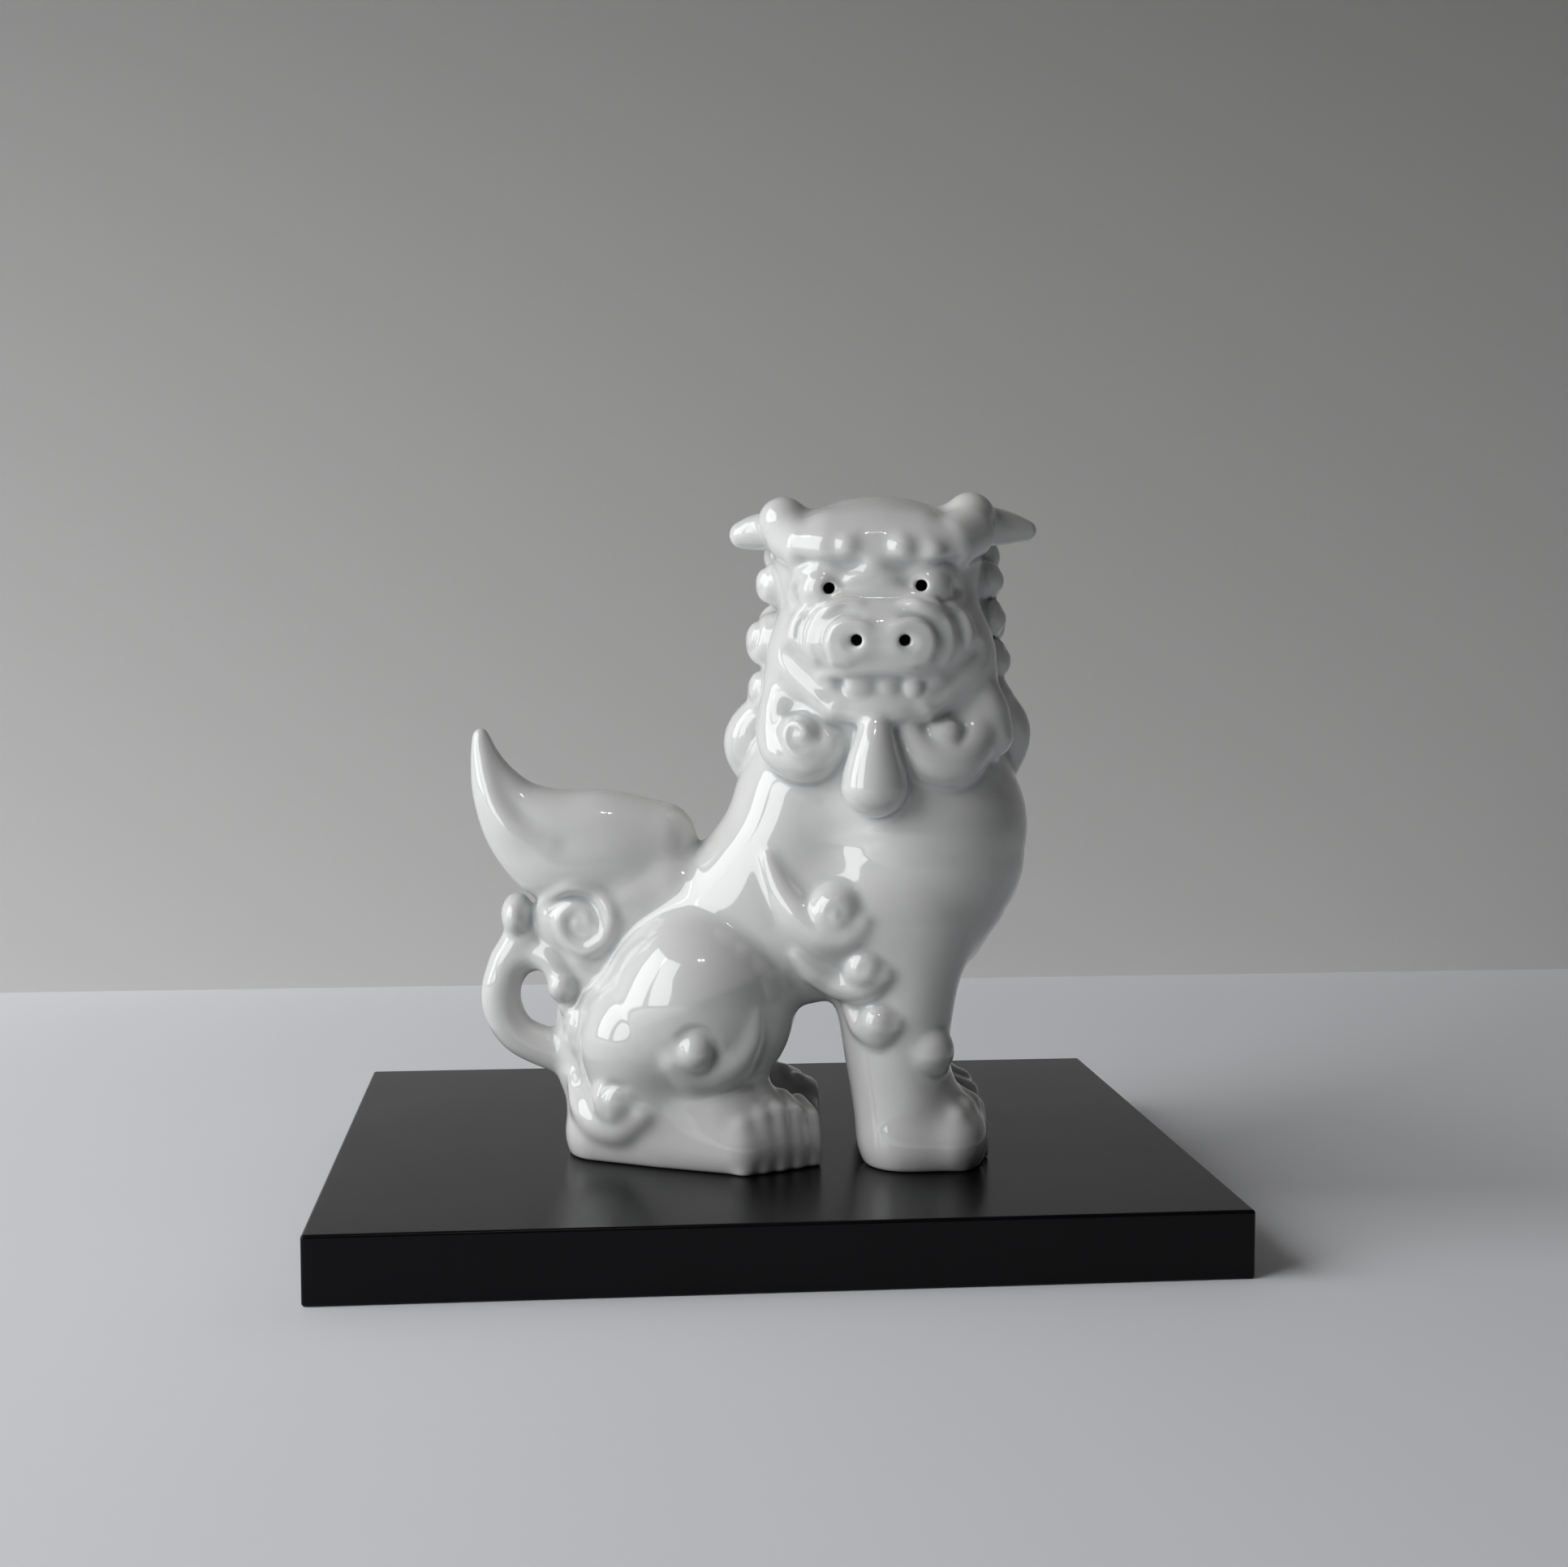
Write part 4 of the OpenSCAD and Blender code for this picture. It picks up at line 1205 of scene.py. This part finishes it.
class LION_OT_face(bpy.types.Operator):
    """Models the crown, ears, brows, eyes and the folds round the nose"""
    bl_idname = "lion.face"
    bl_label = "Face"

    def execute(self, context):
        model_crown(work["clay"])
        model_brows(work["clay"])
        model_eyes(work["clay"])
        model_face_lines(work["clay"])
        return {"FINISHED"}


class LION_OT_openings(bpy.types.Operator):
    """Rounds the clay off, bores the openings and flattens the feet"""
    bl_idname = "lion.openings"
    bl_label = "Openings and feet"

    def execute(self, context):
        clay = work["clay"]
        clay.soften(round(GLAZE_SOFTNESS / clay.step ** 2))
        pierce(clay)
        stand_flat(clay)
        return {"FINISHED"}


class LION_OT_glaze(bpy.types.Operator):
    """Turns the clay into its sections and glazes them"""
    bl_idname = "lion.glaze"
    bl_label = "Glazed sections"

    def execute(self, context):
        sizes, colours = context.scene.lion_sizes, context.scene.lion_finishes
        clay = work.pop("clay")
        points, faces, out, relief = skinned(clay)
        cell = np.round((points[faces].mean(1) - clay.low) / clay.step).astype(int)
        cell = np.clip(cell, 0, np.array(clay.owner.shape) - 1)
        owner = clay.owner[tuple(cell.T)]
        points, out = in_row(points, out, sizes.turn, sizes.forward)
        finish = porcelain_material(glaze_group(), colours)
        for i, section in enumerate(SECTIONS):
            mine = faces[owner == i]
            if len(mine) == 0:
                raise RuntimeError("no clay belongs to " + section)
            piece = closed_piece(section + "_glazed", points, mine, out, relief, sizes.wall)
            piece.data.materials.append(finish)
            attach(piece, "figure")
            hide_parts(section)
        return {"FINISHED"}


class LION_OT_board(bpy.types.Operator):
    """Makes the lacquered board"""
    bl_idname = "lion.board"
    bl_label = "Board"

    def execute(self, context):
        edge = context.scene.lion_sizes.board_edge
        finish = lacquer_material(context.scene.lion_finishes.lacquer)
        piece = plain_from_nodes("lacquered_board", slab_tree(), {
            "Size": BOARD_HIGH - BOARD_LOW, "Middle": (BOARD_HIGH + BOARD_LOW) / 2,
            "Edge": edge, "Finish": finish})
        smooth_edges(piece.data, BOARD_LOW, BOARD_HIGH, edge)
        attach(piece, "board")
        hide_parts("display_board")
        return {"FINISHED"}


class LION_OT_stage(bpy.types.Operator):
    """Sets the table, the wall, the window's light and the camera"""
    bl_idname = "lion.stage"
    bl_label = "Stage"

    def execute(self, context):
        stage = context.scene.lion_stage
        back, under = stage.wall_distance, BOARD_LOW.z
        stage_sheet("Table", [(-3, -3, under), (3, -3, under), (3, back, under),
                              (-3, back, under)], table_material())
        # The wall's darkening upwards is painted shade in its material, not cast by the lights
        stage_sheet("Wall", [(-3, back, under), (3, back, under), (3, back, 3), (-3, back, 3)],
                    backdrop_painted_shade())
        for across, along in ((-1.295, -0.10), (-1.10, -0.70)):
            area_light("Window pane", (across, along, 0.68), (0, 0, 0.08), (0.60, 1.35),
                       stage.window / 2, (0.985, 0.99, 1.0))
        for across in (-0.15, -0.05):
            area_light("Ceiling lamp", (across, -0.75, 1.25), (0, 0, 0.1),
                       (0.05, 0.02), stage.lamp, (1.0, 0.97, 0.92))
        set_world(stage.fill)
        context.scene.view_settings.view_transform = "Standard"
        set_camera(stage.lens)
        return {"FINISHED"}


class LION_PT_workshop(bpy.types.Panel):
    """Steps of the work, in order"""
    bl_idname = "LION_PT_workshop"
    bl_label = "Guardian lion"
    bl_space_type = "VIEW_3D"
    bl_region_type = "UI"
    bl_category = "Lion"

    def draw(self, context):
        for step in STEPS:
            self.layout.operator(step.bl_idname)
        for group in (context.scene.lion_sizes, context.scene.lion_finishes,
                      context.scene.lion_stage):
            box = self.layout.box()
            for name in group.bl_rna.properties.keys():
                if name not in ("rna_type", "name"):
                    box.prop(group, name)


STEPS = (LION_OT_stage, LION_OT_masses, LION_OT_paws, LION_OT_tail, LION_OT_locks,
         LION_OT_mane, LION_OT_face, LION_OT_openings, LION_OT_glaze, LION_OT_board)
GROUPS = {"lion_sizes": LionSizes, "lion_finishes": LionFinishes, "lion_stage": LionStage}


def register():
    for name, group in GROUPS.items():
        bpy.utils.register_class(group)
        setattr(bpy.types.Scene, name, bpy.props.PointerProperty(type=group))
    for kind in STEPS + (LION_PT_workshop,):
        bpy.utils.register_class(kind)


def unregister():
    for kind in reversed(STEPS + (LION_PT_workshop,)):
        bpy.utils.unregister_class(kind)
    for name, group in GROUPS.items():
        delattr(bpy.types.Scene, name)
        bpy.utils.unregister_class(group)


def main():
    register()
    bpy.ops.lion.stage()
    bpy.ops.lion.masses()
    bpy.ops.lion.paws()
    bpy.ops.lion.tail()
    bpy.ops.lion.locks()
    bpy.ops.lion.mane()
    bpy.ops.lion.face()
    bpy.ops.lion.openings()
    bpy.ops.lion.glaze()
    bpy.ops.lion.board()


if __name__ == "__main__":
    main()
